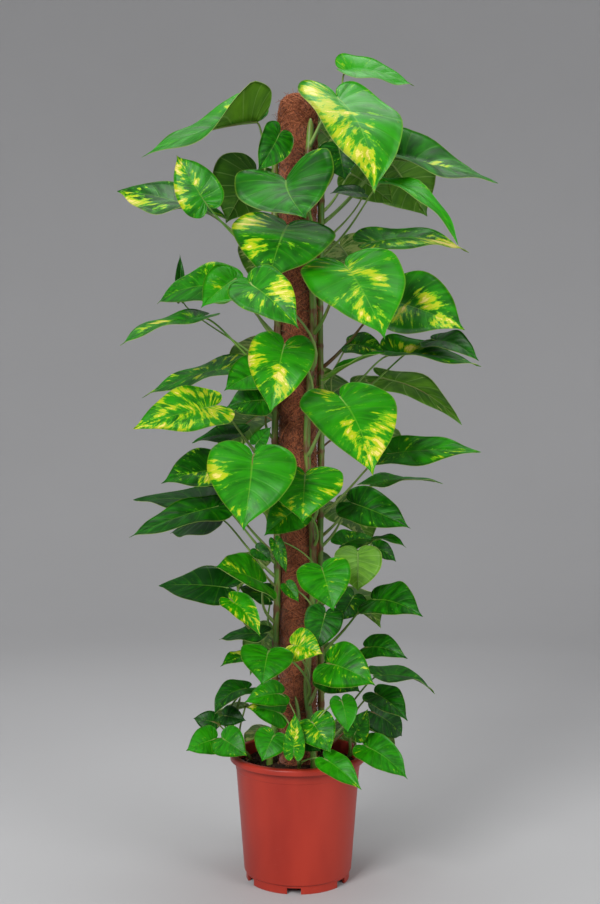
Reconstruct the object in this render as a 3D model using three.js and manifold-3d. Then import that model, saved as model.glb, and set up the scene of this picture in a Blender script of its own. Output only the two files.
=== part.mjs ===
// Golden pothos climbing a coir pole, in a plastic nursery pot. Millimetres, +Z up.
// Origin: the centre of the pot's foot, on the surface that the pot stands on.
import * as THREE from 'three';
import { mergeVertices } from 'three/addons/utils/BufferGeometryUtils.js';
import Module from 'manifold-3d';

const wasm = await Module();
wasm.setup();

// ---- driving dimensions ----
const POT_HEIGHT = 220;
const RIM_RADIUS = 120;
const LIP_HEIGHT = 10.5;
const WALL = 2;
const WALL_TOP_RADIUS = 111;
const WALL_BOTTOM_RADIUS = 95;
const STEP_BELOW_RIM = 28;
const STEP_DEPTH = 0.8;
const FOOT_RADIUS = 91.5;
const FOOT_THICKNESS = 4.5;
const FOOT_HEIGHT = 14;
const FLOOR_LOW = 12;
const FLOOR_TOP = 14.5;
const FOOT_LEDGE = 2;
const STEP_SLOPE = 2;
const WALL_DRAFT = 1;
// Cutters are this many times as deep as the wall that they pass through.
const CUT_REACH = 4;
const NOTCH_SPARE = 1;
const DRAIN_SIDES = 8;
const RIM_BEVEL = [1.5, 2.5];
const NOTCH_COUNT = 6;
const NOTCH_WIDTH = 24;
const NOTCH_TURN = -4;
const DRAIN_RADIUS = 5;
const DRAIN_CIRCLE = 70;
const POT_SIDES = 30;

const SOIL_EDGE = 199;
const SOIL_CROWN = 204;
const SOIL_CROWN_RADIUS = 60;
const SOIL_SLOPE = [88, 202];
const SOIL_CLEARANCE = 0.6;
const HOLE_RISE = 10;
const STEM_HOLE_SIDES = 8;
const SHOOT_HOLE_SIDES = 6;
const GAP = 0.3;

const CORE_RADIUS = 13;
const CORE_BORE = 10.5;
const CORE_TOP = 1370;
const COIR_RADIUS = 33;
const COIR_BOTTOM = 152;
const COIR_TOP = 1385;
const COIR_DOME = 32;
const DOME_STEPS = 3;
const DOME_FULLNESS = 0.75;
const POLE_SIDES = 18;

const STEM_RADIUS = 6.2;
const STEM_SIDES = 6;
const STEM_STEPS = 14;
const STEM_FOOT = 132;
const STEM_CLEARANCE = 2.4;
const STEM_PLANT_RADIUS = 53;
const STEM_CLIMB_RADIUS = 41.5;
const STEM_LEAN_RADIUS = 43.5;
const STEM_LEAN_HEIGHTS = [216, 274];
const STEM_CLIMB_FROM = 334;
const STEM_CLIMB_STEP = 90;
const STEM_SWAY = 9;
const STEM_SWAY_HEIGHT = 70;
// Petioles leave a stem no lower than this over the soil and no nearer than this to its top.
const STEM_BARE = [20, 12];
const SHOOT_BARE = [12, 6];
const SHOOT_RADIUS = 3;
const SHOOT_SIDES = 5;
const SHOOT_STEPS = 8;
const PETIOLE_RADIUS = 2.1;
const PETIOLE_SIDES = 3;
const PETIOLE_STEPS = 3;
const PETIOLE_SEAT = 6;
const PETIOLE_DROP = 20;
const PETIOLE_SLOPE = 0.55;
const PETIOLE_LEAVE_OUT = 0.4;
const PETIOLE_LEAVE_UP = 0.3;
const PETIOLE_ARRIVE_BACK = 0.16;
const PETIOLE_ARRIVE_UP = 0.02;
const BLADE_THICKNESS = 1;
const BLADE_WAVE = 0.03;
const BLADE_WAVE_RATE = 9;
const FOLD_EASING = 0.45;
const CUP_FADE = 3;
const SMALL_LEAF = 60;

// Leaf places are given against the plane of the pole, as an eye in front of the plant sees them.
// A leaf nearer than that plane is drawn in towards the eye, so that it keeps its place in the view.
const EYE_DISTANCE = 2046;
const EYE_HEIGHT = 768;
const EYE_X = 4;

// Half of a heart-shaped blade: along the midrib from the petiole (0) to the tip (1), then across it
// as a share of the half width. It runs from the tip round to the lobe beside the petiole.
const HALF_OUTLINE = [[0.86, 0.22], [0.64, 0.66], [0.34, 0.97], [0.02, 0.97], [-0.15, 0.6], [-0.15, 0.24]];
const SMALL_OUTLINE = [[0.74, 0.46], [0.35, 0.96], [-0.05, 0.9], [-0.14, 0.34]];
const MIDRIB = [0, 0.42, 1];
const SMALL_MIDRIB = [0, 0.5, 1];
const RIB_LEAD = 0.05;
const SAME_POINT = 1e-4;

// ---- leaves ----
// Each row: petiole end, tip, blade width, way the upper face looks, bow of the midrib, fold, and then, on
// the leaves that have them, the midrib's bow to the side, the blade's twist in degrees and the rise of its
// lobes.
const LEFT_LEAVES = [
  [[-72, -40, 1340], [-277, -90, 1276], 100, [0, -1, 9], 0.05, 0, 0, 40, 2.3],
  [[-32, -100, 1319], [-72, -112, 1251], 60, [5, -8, 1], 0.08, 0.3],
  [[-74, 70, 1251], [-128, 130, 1159], 138, [-2, 8, 3], 0.08, 0.2],
  [[-163, -75, 1194], [-215, -66, 1280], 78, [-2, -9, 2], 0.06, 0.1],
  [[-167, 20, 1180], [-321, 100, 1216], 130, [0, -1, 8], 0.04, 0, 0, 60],
  [[-124, -20, 1047], [-250, 30, 1016], 112, [0, -6, 6], 0.12, 0.2],
  [[-110, -95, 1061], [-172, -150, 1009], 76, [0, -9, 3], 0.08, 0.25],
  [[-208, 60, 1029], [-209, 60, 1105], 20, [0, -9, 1], 0, 0.8],
  [[-172, -30, 992], [-316, -110, 942], 92, [0, -2, 8], 0.06, 0.2],
  [[-124, 30, 903], [-277, 100, 849], 90, [0, -5, 8], 0.05, 0.1],
  [[-149, -85, 835], [-293, -150, 794], 112, [0, -7, 7], 0.03, 0.15],
  [[-64, -66, 896], [-131, -100, 862], 76, [-2, -8, 3], 0.08, 0.25],
  [[-53, -72, 846], [-128, -60, 832], 84, [0, -7, 6], 0.06, 0.3],
  [[-103, -5, 785], [-188, 50, 769], 56, [0, -6, 8], 0.06, 0.3],
  [[-74, -60, 768], [-47, -72, 798], 30, [0, -9, 2], 0.05, 0.2],
  [[-128, -60, 721], [-243, -110, 697], 98, [-1, -7, 6], 0.08, 0.3],
  [[-135, -20, 663], [-293, 20, 668], 100, [0, -3, 8], 0.03, 0.1],
  [[-142, -78, 657], [-300, -150, 601], 72, [0, -5, 7], 0.04, 0.1],
  [[-142, 40, 636], [-227, 130, 608], 84, [0, -6, 6], 0.04, 0.1],
  [[-124, 0, 512], [-248, 60, 515], 84, [0, -6, 6], 0.04, 0.1],
  [[-64, -95, 521], [-149, -165, 549], 100, [0, -6, 7], 0.04, 0.3],
  [[-120, -110, 490], [-67, -132, 425], 50, [3, -7, 6], 0.16, 0.3],
  [[-49, 40, 490], [-106, 90, 511], 62, [0, -3, 8], 0.1, 0.3],
  [[-64, -60, 430], [-140, -30, 419], 60, [0, -3, 8], 0.06, 0.1],
  [[-85, -30, 387], [-138, -80, 371], 42, [0, -4, 7], 0.1, 0.3],
];

const FRONT_LEAVES = [
  [[-21, -111, 1235], [15, -195, 1168], 170, [-2, -5, 8], 0.08, 0, 0.07, 0, 0.8],
  [[-19, -110, 1155], [-53, -190, 1052], 172, [0, -8, 5], 0.1, 0.1],
  [[-85, -190, 1052], [2, -235, 972], 92, [1, -9, 3], 0.1, 0.25],
  [[-24, -140, 944], [-49, -190, 821], 108, [0, -9, 3], 0.1, 0.22],
  [[-80, -150, 748], [-97, -215, 613], 146, [0, -9, 4], 0.1, 0.2, -0.02],
  [[13, -120, 714], [8, -175, 627], 128, [0, -9, 4], 0.08, 0.22],
  [[0, -95, 654], [-60, -125, 604], 68, [0, -9, 3], 0.08, 0.25],
  [[75, -130, 851], [134, -235, 711], 148, [1, -8, 4], 0.08, 0.15, -0.03],
  [[84, -135, 1084], [155, -235, 953], 166, [1, -8, 4], 0.08, 0.15],
  [[70, -77, 1383], [136, -190, 1212], 160, [3, -8, 7], 0.08, 0.1, -0.04, 0, 0.2],
  [[43, -120, 547], [64, -165, 470], 90, [0, -9, 3], 0.08, 0.3],
  [[50, -66, 468], [32, -92, 398], 66, [-1, -9, 2], 0.06, 0.25],
  [[-53, -135, 398], [-64, -185, 337], 88, [0, -9, 3], 0.1, 0.25],
  [[-10, -100, 410], [45, -130, 394], 64, [0, -8, 5], 0.08, 0.2],
  [[54, -115, 377], [139, -165, 337], 88, [1, -8, 4], 0.14, 0.2],
  [[49, -62, 362], [111, -85, 326], 78, [1, -7, 5], 0.1, 0.25],
  [[-40, -72, 594], [-20, -84, 538], 25, [1, -9, 3], 0.05, 0.4],
];

const RIGHT_LEAVES = [
  [[86, 24, 1429], [207, 50, 1402], 84, [0, -6, 6], 0.08, 0, 0, 0, 0.7],
  [[166, -20, 1274], [356, -60, 1230], 124, [0, -5, 6], 0.04, 0, 0, 15, 1.2],
  [[157, -80, 1232], [285, -140, 1120], 50, [3, -6, 6], 0.16, 0.2],
  [[168, 70, 1264], [230, 140, 1171], 138, [2, 8, 2], 0.08, 0.2],
  [[96, 30, 1247], [171, 60, 1192], 80, [0, 6, 5], 0.08, 0.2],
  [[72, -50, 1297], [84, -50, 1235], 76, [-1, -9, 3], 0.08, 0.2],
  [[132, -10, 1125], [304, 40, 1107], 92, [0, -5, 7], 0.1, 0.15],
  [[164, -60, 1022], [297, -150, 970], 138, [1, -8, 3], 0.06, 0.15, 0, 0, 0.2],
  [[242, -40, 951], [322, -110, 915], 60, [1, -7, 5], 0.12, 0.25],
  [[166, -20, 926], [326, -90, 905], 84, [0, -5, 8], 0.06, 0, 0, 15, 1.1],
  [[93, 0, 944], [157, -15, 926], 62, [0, -6, 6], 0.1, 0.25],
  [[60, -50, 888], [155, -100, 930], 38, [0, -3, 8], 0.06, 0.6],
  [[153, 18, 885], [292, 50, 801], 72, [1, 5, 8], 0.1, 0, 0.03],
  [[160, -60, 750], [326, -110, 753], 90, [0, -5, 7], 0.04, 0.1],
  [[137, 0, 695], [258, 80, 697], 74, [0, -1, 8], 0.06, 0.2],
  [[96, -75, 663], [201, -140, 617], 76, [1, -8, 4], 0.04, 0.2],
  [[107, -80, 576], [107, -100, 505], 82, [1, 8, 0], 0.05, 0.15],
  [[79, 10, 588], [139, 60, 596], 62, [0, -4, 7], 0.1, 0.25],
  [[136, -15, 597], [193, -60, 583], 34, [0, -3, 8], 0.12, 0.3],
  [[136, -76, 490], [223, -150, 460], 84, [1, -7, 5], 0.12, 0.25],
  [[123, -30, 405], [196, -80, 385], 56, [1, -7, 5], 0.16, 0.25],
  [[146, 10, 355], [244, 70, 322], 58, [0, -3, 8], 0.12, 0.35],
  [[139, -30, 323], [196, -90, 274], 60, [2, -7, 4], 0.1, 0.3],
  [[132, 10, 291], [185, 50, 247], 64, [2, -6, 3], 0.14, 0.2],
];

const BACK_LEAVES = [
  [[24, 108, 1335], [80, 240, 1270], 150, [1, 5, 7], 0.1, 0.25],
  [[-40, 132, 1130], [-74, 246, 1041], 120, [-2, 6, 5], 0.1, 0.25],
  [[75, 126, 1121], [118, 246, 1024], 132, [2, 6, 5], 0.1, 0.25],
  [[-8, 134, 1065], [-30, 252, 960], 150, [0, 8, 4], 0.1, 0.22],
  [[-53, 118, 944], [-103, 222, 849], 112, [-3, 5, 6], 0.1, 0.25],
  [[93, 122, 873], [132, 228, 775], 118, [3, 6, 5], 0.1, 0.25],
  [[5, 136, 880], [18, 252, 770], 145, [0, 8, 4], 0.1, 0.22],
  [[-71, 116, 819], [-135, 216, 736], 110, [-3, 6, 5], 0.1, 0.25],
  [[98, 108, 790], [185, 200, 735], 118, [3, 5, 6], 0.1, 0.25],
  [[-20, 130, 720], [-55, 238, 625], 125, [-1, 8, 4], 0.1, 0.22],
  [[70, 118, 660], [132, 212, 585], 115, [2, 6, 5], 0.1, 0.25],
  [[-58, 108, 570], [-108, 200, 501], 88, [-3, 6, 5], 0.12, 0.25],
  [[10, 118, 560], [22, 216, 475], 110, [0, 8, 4], 0.1, 0.22],
  [[80, 98, 500], [148, 180, 440], 95, [3, 6, 5], 0.1, 0.25],
  [[-46, 100, 437], [-85, 180, 355], 80, [-2, 7, 4], 0.1, 0.25],
  [[25, 100, 400], [55, 184, 330], 90, [1, 8, 4], 0.1, 0.22],
];

const FRONT_SHOOT_LEAVES = [
  [[25, -112, 274], [59, -142, 217], 66, [1, -9, 3], 0.12, 0.2],
  [[-7, -142, 216], [-5, -134, 290], 36, [0, -9, 1], 0.04, 0.3],
  [[-42, -118, 250], [-64, -142, 202], 58, [-1, -9, 3], 0.08, 0.15],
  [[50, -132, 206], [114, -176, 151], 46, [1, -7, 5], 0.08, 0.3],
  [[78, -106, 312], [89, -124, 254], 46, [2, -8, 4], 0.1, 0.2],
  [[15, -98, 245], [41, -112, 220], 42, [0, -9, 4], 0.08, 0.2],
  [[-30, -94, 323], [-96, -126, 307], 50, [-1, -8, 5], 0.12, 0.25],
  [[-30, -84, 288], [-92, -114, 298], 58, [-1, -8, 5], 0.1, 0.25],
];

const RIGHT_SHOOT_LEAVES = [
  [[121, -78, 229], [196, -112, 170], 64, [2, -7, 5], 0.14, 0.25],
  [[100, -72, 249], [125, -84, 296], 42, [0, -9, 2], 0.05, 0.25],
  [[104, 20, 262], [176, 60, 214], 66, [3, 2, 6], 0.14, 0.25],
];

const LEFT_SHOOT_LEAVES = [
  [[-88, -32, 332], [-149, -60, 282], 62, [-3, -4, 7], 0.22, 0.3],
  [[-131, -26, 284], [-92, -38, 275], 38, [0, -7, 4], 0.08, 0.2],
  [[-147, 0, 272], [-186, 5, 279], 36, [0, -7, 3], 0.1, 0.2],
  [[-147, -40, 242], [-199, -64, 221], 56, [0, -7, 5], 0.08, 0.25],
  [[-134, -64, 243], [-90, -92, 212], 58, [0, -8, 4], 0.1, 0.2],
  [[-92, 40, 300], [-150, 84, 250], 68, [-3, 4, 6], 0.14, 0.25],
];

const BACK_SHOOT_LEAVES = [
  [[0, 108, 290], [-6, 172, 232], 76, [0, 7, 5], 0.12, 0.22],
  [[52, 98, 262], [98, 158, 212], 68, [2, 6, 5], 0.12, 0.22],
  [[-48, 100, 258], [-92, 160, 218], 66, [-2, 6, 5], 0.12, 0.22],
];

// Stems: the way each stands from the pole's axis, in degrees from the front towards +X, and its top.
const STEMS = [
  { name: 'vine_front', turn: 32, top: 1335, leaves: FRONT_LEAVES, color: 0x2f8f1e },
  { name: 'vine_left', turn: -68, top: 1310, leaves: LEFT_LEAVES, color: 0x2a851c },
  { name: 'vine_right', turn: 100, top: 1300, leaves: RIGHT_LEAVES, color: 0x2c8a1d },
  { name: 'vine_back', turn: 182, top: 1290, leaves: BACK_LEAVES, color: 0x27801a },
];

// Young shoots at the foot: the points that each stem follows, from inside the soil upwards.
const SHOOTS = [
  {
    name: 'shoot_front',
    path: [[2, -78, 150], [2, -80, 205], [4, -88, 240], [2, -78, 300], [-4, -72, 335]],
    leaves: FRONT_SHOOT_LEAVES,
    color: 0x37992a,
  },
  {
    name: 'shoot_right',
    path: [[84, -18, 150], [84, -20, 205], [92, -30, 228], [90, -34, 262]],
    leaves: RIGHT_SHOOT_LEAVES,
    color: 0x33942a,
  },
  {
    name: 'shoot_left',
    path: [[-82, 6, 150], [-84, 6, 205], [-104, 0, 232], [-116, -8, 262], [-102, -4, 318]],
    leaves: LEFT_SHOOT_LEAVES,
    color: 0x339328,
  },
  {
    name: 'shoot_back',
    path: [[4, 80, 150], [4, 82, 205], [2, 86, 236], [0, 84, 272]],
    leaves: BACK_SHOOT_LEAVES,
    color: 0x2f8d26,
  },
];

// ---- helpers ----
function vector(place) {
  return new THREE.Vector3(place[0], place[1], place[2]);
}

// The real place of a point that is seen at x, z against the pole's plane and lies at depth y.
function placed([x, y, z]) {
  const nearness = (EYE_DISTANCE + y) / EYE_DISTANCE;
  return new THREE.Vector3(
    EYE_X + (x - EYE_X) * nearness,
    y,
    EYE_HEIGHT + (z - EYE_HEIGHT) * nearness,
  );
}

function around(radius, turn, z) {
  const angle = THREE.MathUtils.degToRad(turn);
  return new THREE.Vector3(radius * Math.sin(angle), -radius * Math.cos(angle), z);
}

function signedVolume(points, triangles) {
  const a = new THREE.Vector3();
  const b = new THREE.Vector3();
  const c = new THREE.Vector3();
  let total = 0;
  for (let i = 0; i < triangles.length; i += 3) {
    a.fromArray(points, 3 * triangles[i]);
    b.fromArray(points, 3 * triangles[i + 1]);
    c.fromArray(points, 3 * triangles[i + 2]);
    total += a.dot(b.cross(c)) / 6;
  }
  return total;
}

function solidOf(geometry) {
  const bare = new THREE.BufferGeometry();
  bare.setAttribute('position', geometry.getAttribute('position'));
  if (geometry.index) bare.setIndex(geometry.index);
  const merged = mergeVertices(bare, SAME_POINT);
  const vertProperties = new Float32Array(merged.getAttribute('position').array);
  const triVerts = new Uint32Array(merged.index.array);
  if (signedVolume(vertProperties, triVerts) < 0) {
    for (let i = 0; i < triVerts.length; i += 3) {
      [triVerts[i], triVerts[i + 1]] = [triVerts[i + 1], triVerts[i]];
    }
  }
  return new wasm.Manifold(new wasm.Mesh({ numProp: 3, vertProperties, triVerts }));
}

function geometryOf(solid) {
  const mesh = solid.getMesh();
  const geometry = new THREE.BufferGeometry();
  const points = [];
  for (let i = 0; i < mesh.numVert; i += 1) {
    points.push(...mesh.vertProperties.slice(i * mesh.numProp, i * mesh.numProp + 3));
  }
  geometry.setAttribute('position', new THREE.Float32BufferAttribute(points, 3));
  geometry.setIndex(Array.from(mesh.triVerts));
  geometry.computeVertexNormals();
  return geometry;
}

function meshOf(name, solid, color, roughness) {
  const material = new THREE.MeshStandardMaterial({ color, roughness, metalness: 0 });
  const mesh = new THREE.Mesh(geometryOf(solid), material);
  mesh.name = name;
  return mesh;
}

// One body: any hollow that the joining seals is filled, and any loose scrap is dropped.
function joined(solids) {
  const whole = solids.reduce((sum, piece) => sum.add(piece));
  return whole.decompose().reduce((a, b) => (b.volume() > a.volume() ? b : a));
}

// A solid of revolution about +Z from points given as radius, height.
function turned(profile, sides) {
  const points = profile.map(([radius, z]) => new THREE.Vector2(radius, z));
  const geometry = new THREE.LatheGeometry(points, sides);
  geometry.rotateX(Math.PI / 2);
  return solidOf(geometry);
}

function tube(curve, radius, sides, steps) {
  const outline = new THREE.Shape();
  for (let i = 0; i < sides; i += 1) {
    const angle = (2 * Math.PI * i) / sides;
    const x = radius * Math.cos(angle);
    const y = radius * Math.sin(angle);
    if (i === 0) outline.moveTo(x, y);
    else outline.lineTo(x, y);
  }
  const settings = { steps, extrudePath: curve, bevelEnabled: false };
  return solidOf(new THREE.ExtrudeGeometry(outline, settings));
}

// ---- pot ----
function potInnerRadius(z) {
  const share = (z - FLOOR_TOP) / (POT_HEIGHT - FLOOR_TOP);
  return WALL_BOTTOM_RADIUS - WALL + (WALL_TOP_RADIUS - WALL_BOTTOM_RADIUS - STEP_DEPTH) * share;
}

function makePot() {
  const lipLow = POT_HEIGHT - LIP_HEIGHT;
  const stepZ = POT_HEIGHT - STEP_BELOW_RIM;
  const profile = [
    [0, FLOOR_LOW],
    [FOOT_RADIUS - FOOT_THICKNESS, FLOOR_LOW],
    [FOOT_RADIUS - FOOT_THICKNESS, 0],
    [FOOT_RADIUS, 0],
    [FOOT_RADIUS, FOOT_HEIGHT],
    [WALL_BOTTOM_RADIUS, FOOT_HEIGHT + FOOT_LEDGE],
    [WALL_TOP_RADIUS - STEP_DEPTH - WALL_DRAFT, stepZ],
    [WALL_TOP_RADIUS - WALL_DRAFT, stepZ + STEP_SLOPE],
    [WALL_TOP_RADIUS, POT_HEIGHT - WALL],
    [RIM_RADIUS - WALL, POT_HEIGHT - WALL],
    [RIM_RADIUS - WALL, lipLow],
    [RIM_RADIUS, lipLow],
    [RIM_RADIUS, POT_HEIGHT - RIM_BEVEL[1]],
    [RIM_RADIUS - RIM_BEVEL[0], POT_HEIGHT],
    [potInnerRadius(POT_HEIGHT), POT_HEIGHT],
    [potInnerRadius(FLOOR_TOP), FLOOR_TOP],
    [0, FLOOR_TOP],
  ];
  let pot = turned(profile, POT_SIDES);
  for (let i = 0; i < NOTCH_COUNT; i += 1) {
    const turn = NOTCH_TURN + (360 / NOTCH_COUNT) * i;
    pot = pot.subtract(notch(turn)).subtract(drainHole(turn));
  }
  return pot;
}

function notch(turn) {
  const depth = CUT_REACH * FOOT_THICKNESS;
  const block = new THREE.BoxGeometry(NOTCH_WIDTH, depth, 2 * (FLOOR_LOW + NOTCH_SPARE));
  block.rotateZ(THREE.MathUtils.degToRad(turn));
  const centre = around(FOOT_RADIUS - FOOT_THICKNESS / 2, turn, 0);
  block.translate(centre.x, centre.y, centre.z);
  return solidOf(block);
}

function drainHole(turn) {
  const hole = new THREE.CylinderGeometry(DRAIN_RADIUS, DRAIN_RADIUS, CUT_REACH * WALL, DRAIN_SIDES);
  hole.rotateX(Math.PI / 2);
  const centre = around(DRAIN_CIRCLE, turn, (FLOOR_LOW + FLOOR_TOP) / 2);
  hole.translate(centre.x, centre.y, centre.z);
  return solidOf(hole);
}

// ---- soil and pole ----
function makeSoil() {
  const bottom = FLOOR_TOP + GAP;
  const aroundCore = CORE_RADIUS + SOIL_CLEARANCE;
  const aroundCoir = COIR_RADIUS + SOIL_CLEARANCE;
  const profile = [
    [aroundCore, bottom],
    [potInnerRadius(bottom) - SOIL_CLEARANCE, bottom],
    [potInnerRadius(SOIL_EDGE) - SOIL_CLEARANCE, SOIL_EDGE],
    SOIL_SLOPE,
    [SOIL_CROWN_RADIUS, SOIL_CROWN],
    [aroundCoir, SOIL_CROWN],
    [aroundCoir, COIR_BOTTOM - GAP],
    [aroundCore, COIR_BOTTOM - GAP],
    [aroundCore, bottom],
  ];
  let soil = turned(profile, POT_SIDES);
  for (const stem of STEMS) soil = soil.subtract(stemHole(stem));
  for (const shoot of SHOOTS) soil = soil.subtract(shootHole(shoot));
  return soil;
}

function stemHole(stem) {
  const axis = new THREE.LineCurve3(
    around(STEM_PLANT_RADIUS, stem.turn, STEM_FOOT - GAP),
    around(STEM_PLANT_RADIUS, stem.turn, SOIL_CROWN + HOLE_RISE),
  );
  return tube(axis, STEM_RADIUS + STEM_CLEARANCE, STEM_HOLE_SIDES, 1);
}

function shootHole(shoot) {
  const foot = vector(shoot.path[0]);
  const mouth = vector(shoot.path[1]);
  const axis = new THREE.LineCurve3(
    new THREE.Vector3(foot.x, foot.y, foot.z - GAP),
    new THREE.Vector3(mouth.x, mouth.y, mouth.z + HOLE_RISE),
  );
  return tube(axis, SHOOT_RADIUS + STEM_CLEARANCE, SHOOT_HOLE_SIDES, 1);
}

function makeCore() {
  const bottom = FLOOR_TOP + GAP;
  return turned([
    [CORE_BORE, bottom],
    [CORE_RADIUS, bottom],
    [CORE_RADIUS, CORE_TOP],
    [CORE_BORE, CORE_TOP],
    [CORE_BORE, bottom],
  ], POLE_SIDES);
}

function makeCoir() {
  const bore = CORE_RADIUS + 2 * GAP;
  const dome = [];
  for (let i = 0; i < DOME_STEPS; i += 1) {
    const bend = ((Math.PI / 2) * i) / DOME_STEPS;
    dome.push([COIR_RADIUS * Math.cos(bend) ** DOME_FULLNESS, COIR_TOP - COIR_DOME * (1 - Math.sin(bend))]);
  }
  return turned([
    [bore, COIR_BOTTOM],
    [COIR_RADIUS, COIR_BOTTOM],
    ...dome,
    [0, COIR_TOP],
    [0, CORE_TOP + GAP],
    [bore, CORE_TOP + GAP],
    [bore, COIR_BOTTOM],
  ], POLE_SIDES);
}

// ---- leaves ----
// The blade's own axes: along the midrib, across it, and out of its upper face.
function bladeAxes(junction, tip, facing) {
  const along = tip.clone().sub(junction);
  const length = along.length();
  along.normalize();
  const up = vector(facing);
  up.addScaledVector(along, -up.dot(along)).normalize();
  const across = along.clone().cross(up);
  return { along, up, across, length };
}

// The axes across the blade and out of its upper face, turned by the twist that a share of it has.
function twistedAxes({ across, up }, twist, a) {
  const turn = THREE.MathUtils.degToRad(twist) * a;
  const acrossHere = across.clone().multiplyScalar(Math.cos(turn)).addScaledVector(up, Math.sin(turn));
  const upHere = up.clone().multiplyScalar(Math.cos(turn)).addScaledVector(across, -Math.sin(turn));
  return { acrossHere, upHere };
}

// Rise of one half over the midrib, at a share along it and a share across: waves, fold and raised lobe.
function sideRise(a, b, length, halfWidth, fold, cup) {
  const side = Math.abs(b);
  const wave = length * BLADE_WAVE * Math.sin(BLADE_WAVE_RATE * a + halfWidth) * side * side;
  const folding = fold + cup * (1 - Math.max(a, 0)) ** CUP_FADE;
  return wave + halfWidth * folding * (side - FOLD_EASING * side * side);
}

// The blade's point at those shares, lifted out of its upper face by a distance.
function bladePoint(row, a, b, lift) {
  const [junctionPlace, tipPlace, width, facing, arch, fold, sweep = 0, twist = 0, cup = 0] = row;
  const junction = placed(junctionPlace);
  const axes = bladeAxes(junction, placed(tipPlace), facing);
  const { acrossHere, upHere } = twistedAxes(axes, twist, a);
  const bow = (a > 0 ? 4 * a * (1 - a) : 2 * a) * axes.length;
  return junction
    .addScaledVector(axes.along, a * axes.length)
    .addScaledVector(axes.across, sweep * bow)
    .addScaledVector(axes.up, arch * bow)
    .addScaledVector(acrossHere, (b * width) / 2)
    .addScaledVector(upHere, sideRise(a, b, axes.length, width / 2, fold, cup) + lift);
}

function makeBlade(row) {
  const small = row[2] < SMALL_LEAF;
  const half = small ? SMALL_OUTLINE : HALF_OUTLINE;
  const midrib = small ? SMALL_MIDRIB : MIDRIB;
  const mirrored = half.map(([a, b]) => [a, -b]);
  const grid = [...midrib.map((a) => [a, 0]), ...half, ...mirrored];
  const points = [];
  for (const lift of [BLADE_THICKNESS / 2, -BLADE_THICKNESS / 2]) {
    for (const [a, b] of grid) {
      const point = bladePoint(row, a, b, lift);
      points.push(point.x, point.y, point.z);
    }
  }
  const geometry = new THREE.BufferGeometry();
  geometry.setAttribute('position', new THREE.Float32BufferAttribute(points, 3));
  geometry.setIndex(bladeTriangles(midrib, half));
  return solidOf(geometry);
}

// Triangles between the midrib and the margin of one half, walked from the petiole to the tip.
function halfFace(midrib, half, firstMargin) {
  const triangles = [];
  let rib = 0;
  for (let i = half.length - 1; i > 0; i -= 1) {
    while (rib < midrib.length - 2 && midrib[rib + 1] < half[i][0] + RIB_LEAD) {
      triangles.push([rib, firstMargin + i, rib + 1]);
      rib += 1;
    }
    triangles.push([rib, firstMargin + i, firstMargin + i - 1]);
  }
  for (; rib < midrib.length - 1; rib += 1) triangles.push([rib, firstMargin, rib + 1]);
  return triangles;
}

// Both faces are split alike, and a strip closes the edge all the way round.
function bladeTriangles(midrib, half) {
  const count = half.length;
  const left = midrib.length;
  const right = left + count;
  const faceSize = right + count;
  const mirroredFace = halfFace(midrib, half, right).map(([a, b, c]) => [a, c, b]);
  const face = [...halfFace(midrib, half, left), ...mirroredFace];
  const edge = [0];
  for (let i = count - 1; i >= 0; i -= 1) edge.push(right + i);
  edge.push(midrib.length - 1);
  for (let i = 0; i < count; i += 1) edge.push(left + i);
  const triangles = [];
  for (const [a, b, c] of face) {
    triangles.push(a, b, c);
    triangles.push(a + faceSize, c + faceSize, b + faceSize);
  }
  edge.forEach((from, i) => {
    const to = edge[(i + 1) % edge.length];
    triangles.push(from, to, to + faceSize);
    triangles.push(from, to + faceSize, from + faceSize);
  });
  return triangles;
}

// The petiole rises from the stem's axis, arches out and ends inside the blade.
function makePetiole(row, stemAt, lowest, highest) {
  const junction = placed(row[0]);
  const tip = placed(row[1]);
  const { along } = bladeAxes(junction, tip, row[3]);
  const wanted = junction.z - PETIOLE_SLOPE * Math.hypot(junction.x, junction.y) - PETIOLE_DROP;
  const root = stemAt(THREE.MathUtils.clamp(wanted, lowest, highest));
  const reach = junction.distanceTo(root);
  const outward = new THREE.Vector3(root.x, root.y, 0).normalize();
  const leaving = root.clone().addScaledVector(outward, PETIOLE_LEAVE_OUT * reach);
  leaving.z += PETIOLE_LEAVE_UP * reach;
  const arriving = junction.clone().addScaledVector(along, -PETIOLE_ARRIVE_BACK * reach);
  arriving.z += PETIOLE_ARRIVE_UP * reach;
  const end = bladePoint(row, PETIOLE_SEAT / junction.distanceTo(tip), 0, 0);
  const curve = new THREE.CubicBezierCurve3(root, leaving, arriving, end);
  return tube(curve, PETIOLE_RADIUS, PETIOLE_SIDES, PETIOLE_STEPS);
}

// ---- stems ----
function climbingCurve(stem) {
  const points = [
    around(STEM_PLANT_RADIUS, stem.turn, STEM_FOOT),
    around(STEM_PLANT_RADIUS, stem.turn, STEM_LEAN_HEIGHTS[0]),
    around(STEM_LEAN_RADIUS, stem.turn, STEM_LEAN_HEIGHTS[1]),
  ];
  for (let z = STEM_CLIMB_FROM; z < stem.top; z += STEM_CLIMB_STEP) {
    const sway = STEM_SWAY * Math.sin(z / STEM_SWAY_HEIGHT);
    points.push(around(STEM_CLIMB_RADIUS, stem.turn + sway, z));
  }
  points.push(around(STEM_CLIMB_RADIUS, stem.turn, stem.top));
  return new THREE.CatmullRomCurve3(points, false, 'centripetal');
}

// The point of a rising curve at a given height.
function pointAtHeight(curve, z) {
  let low = 0;
  let high = 1;
  for (let i = 0; i < 24; i += 1) {
    const middle = (low + high) / 2;
    if (curve.getPoint(middle).z < z) low = middle;
    else high = middle;
  }
  return curve.getPoint((low + high) / 2);
}

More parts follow.
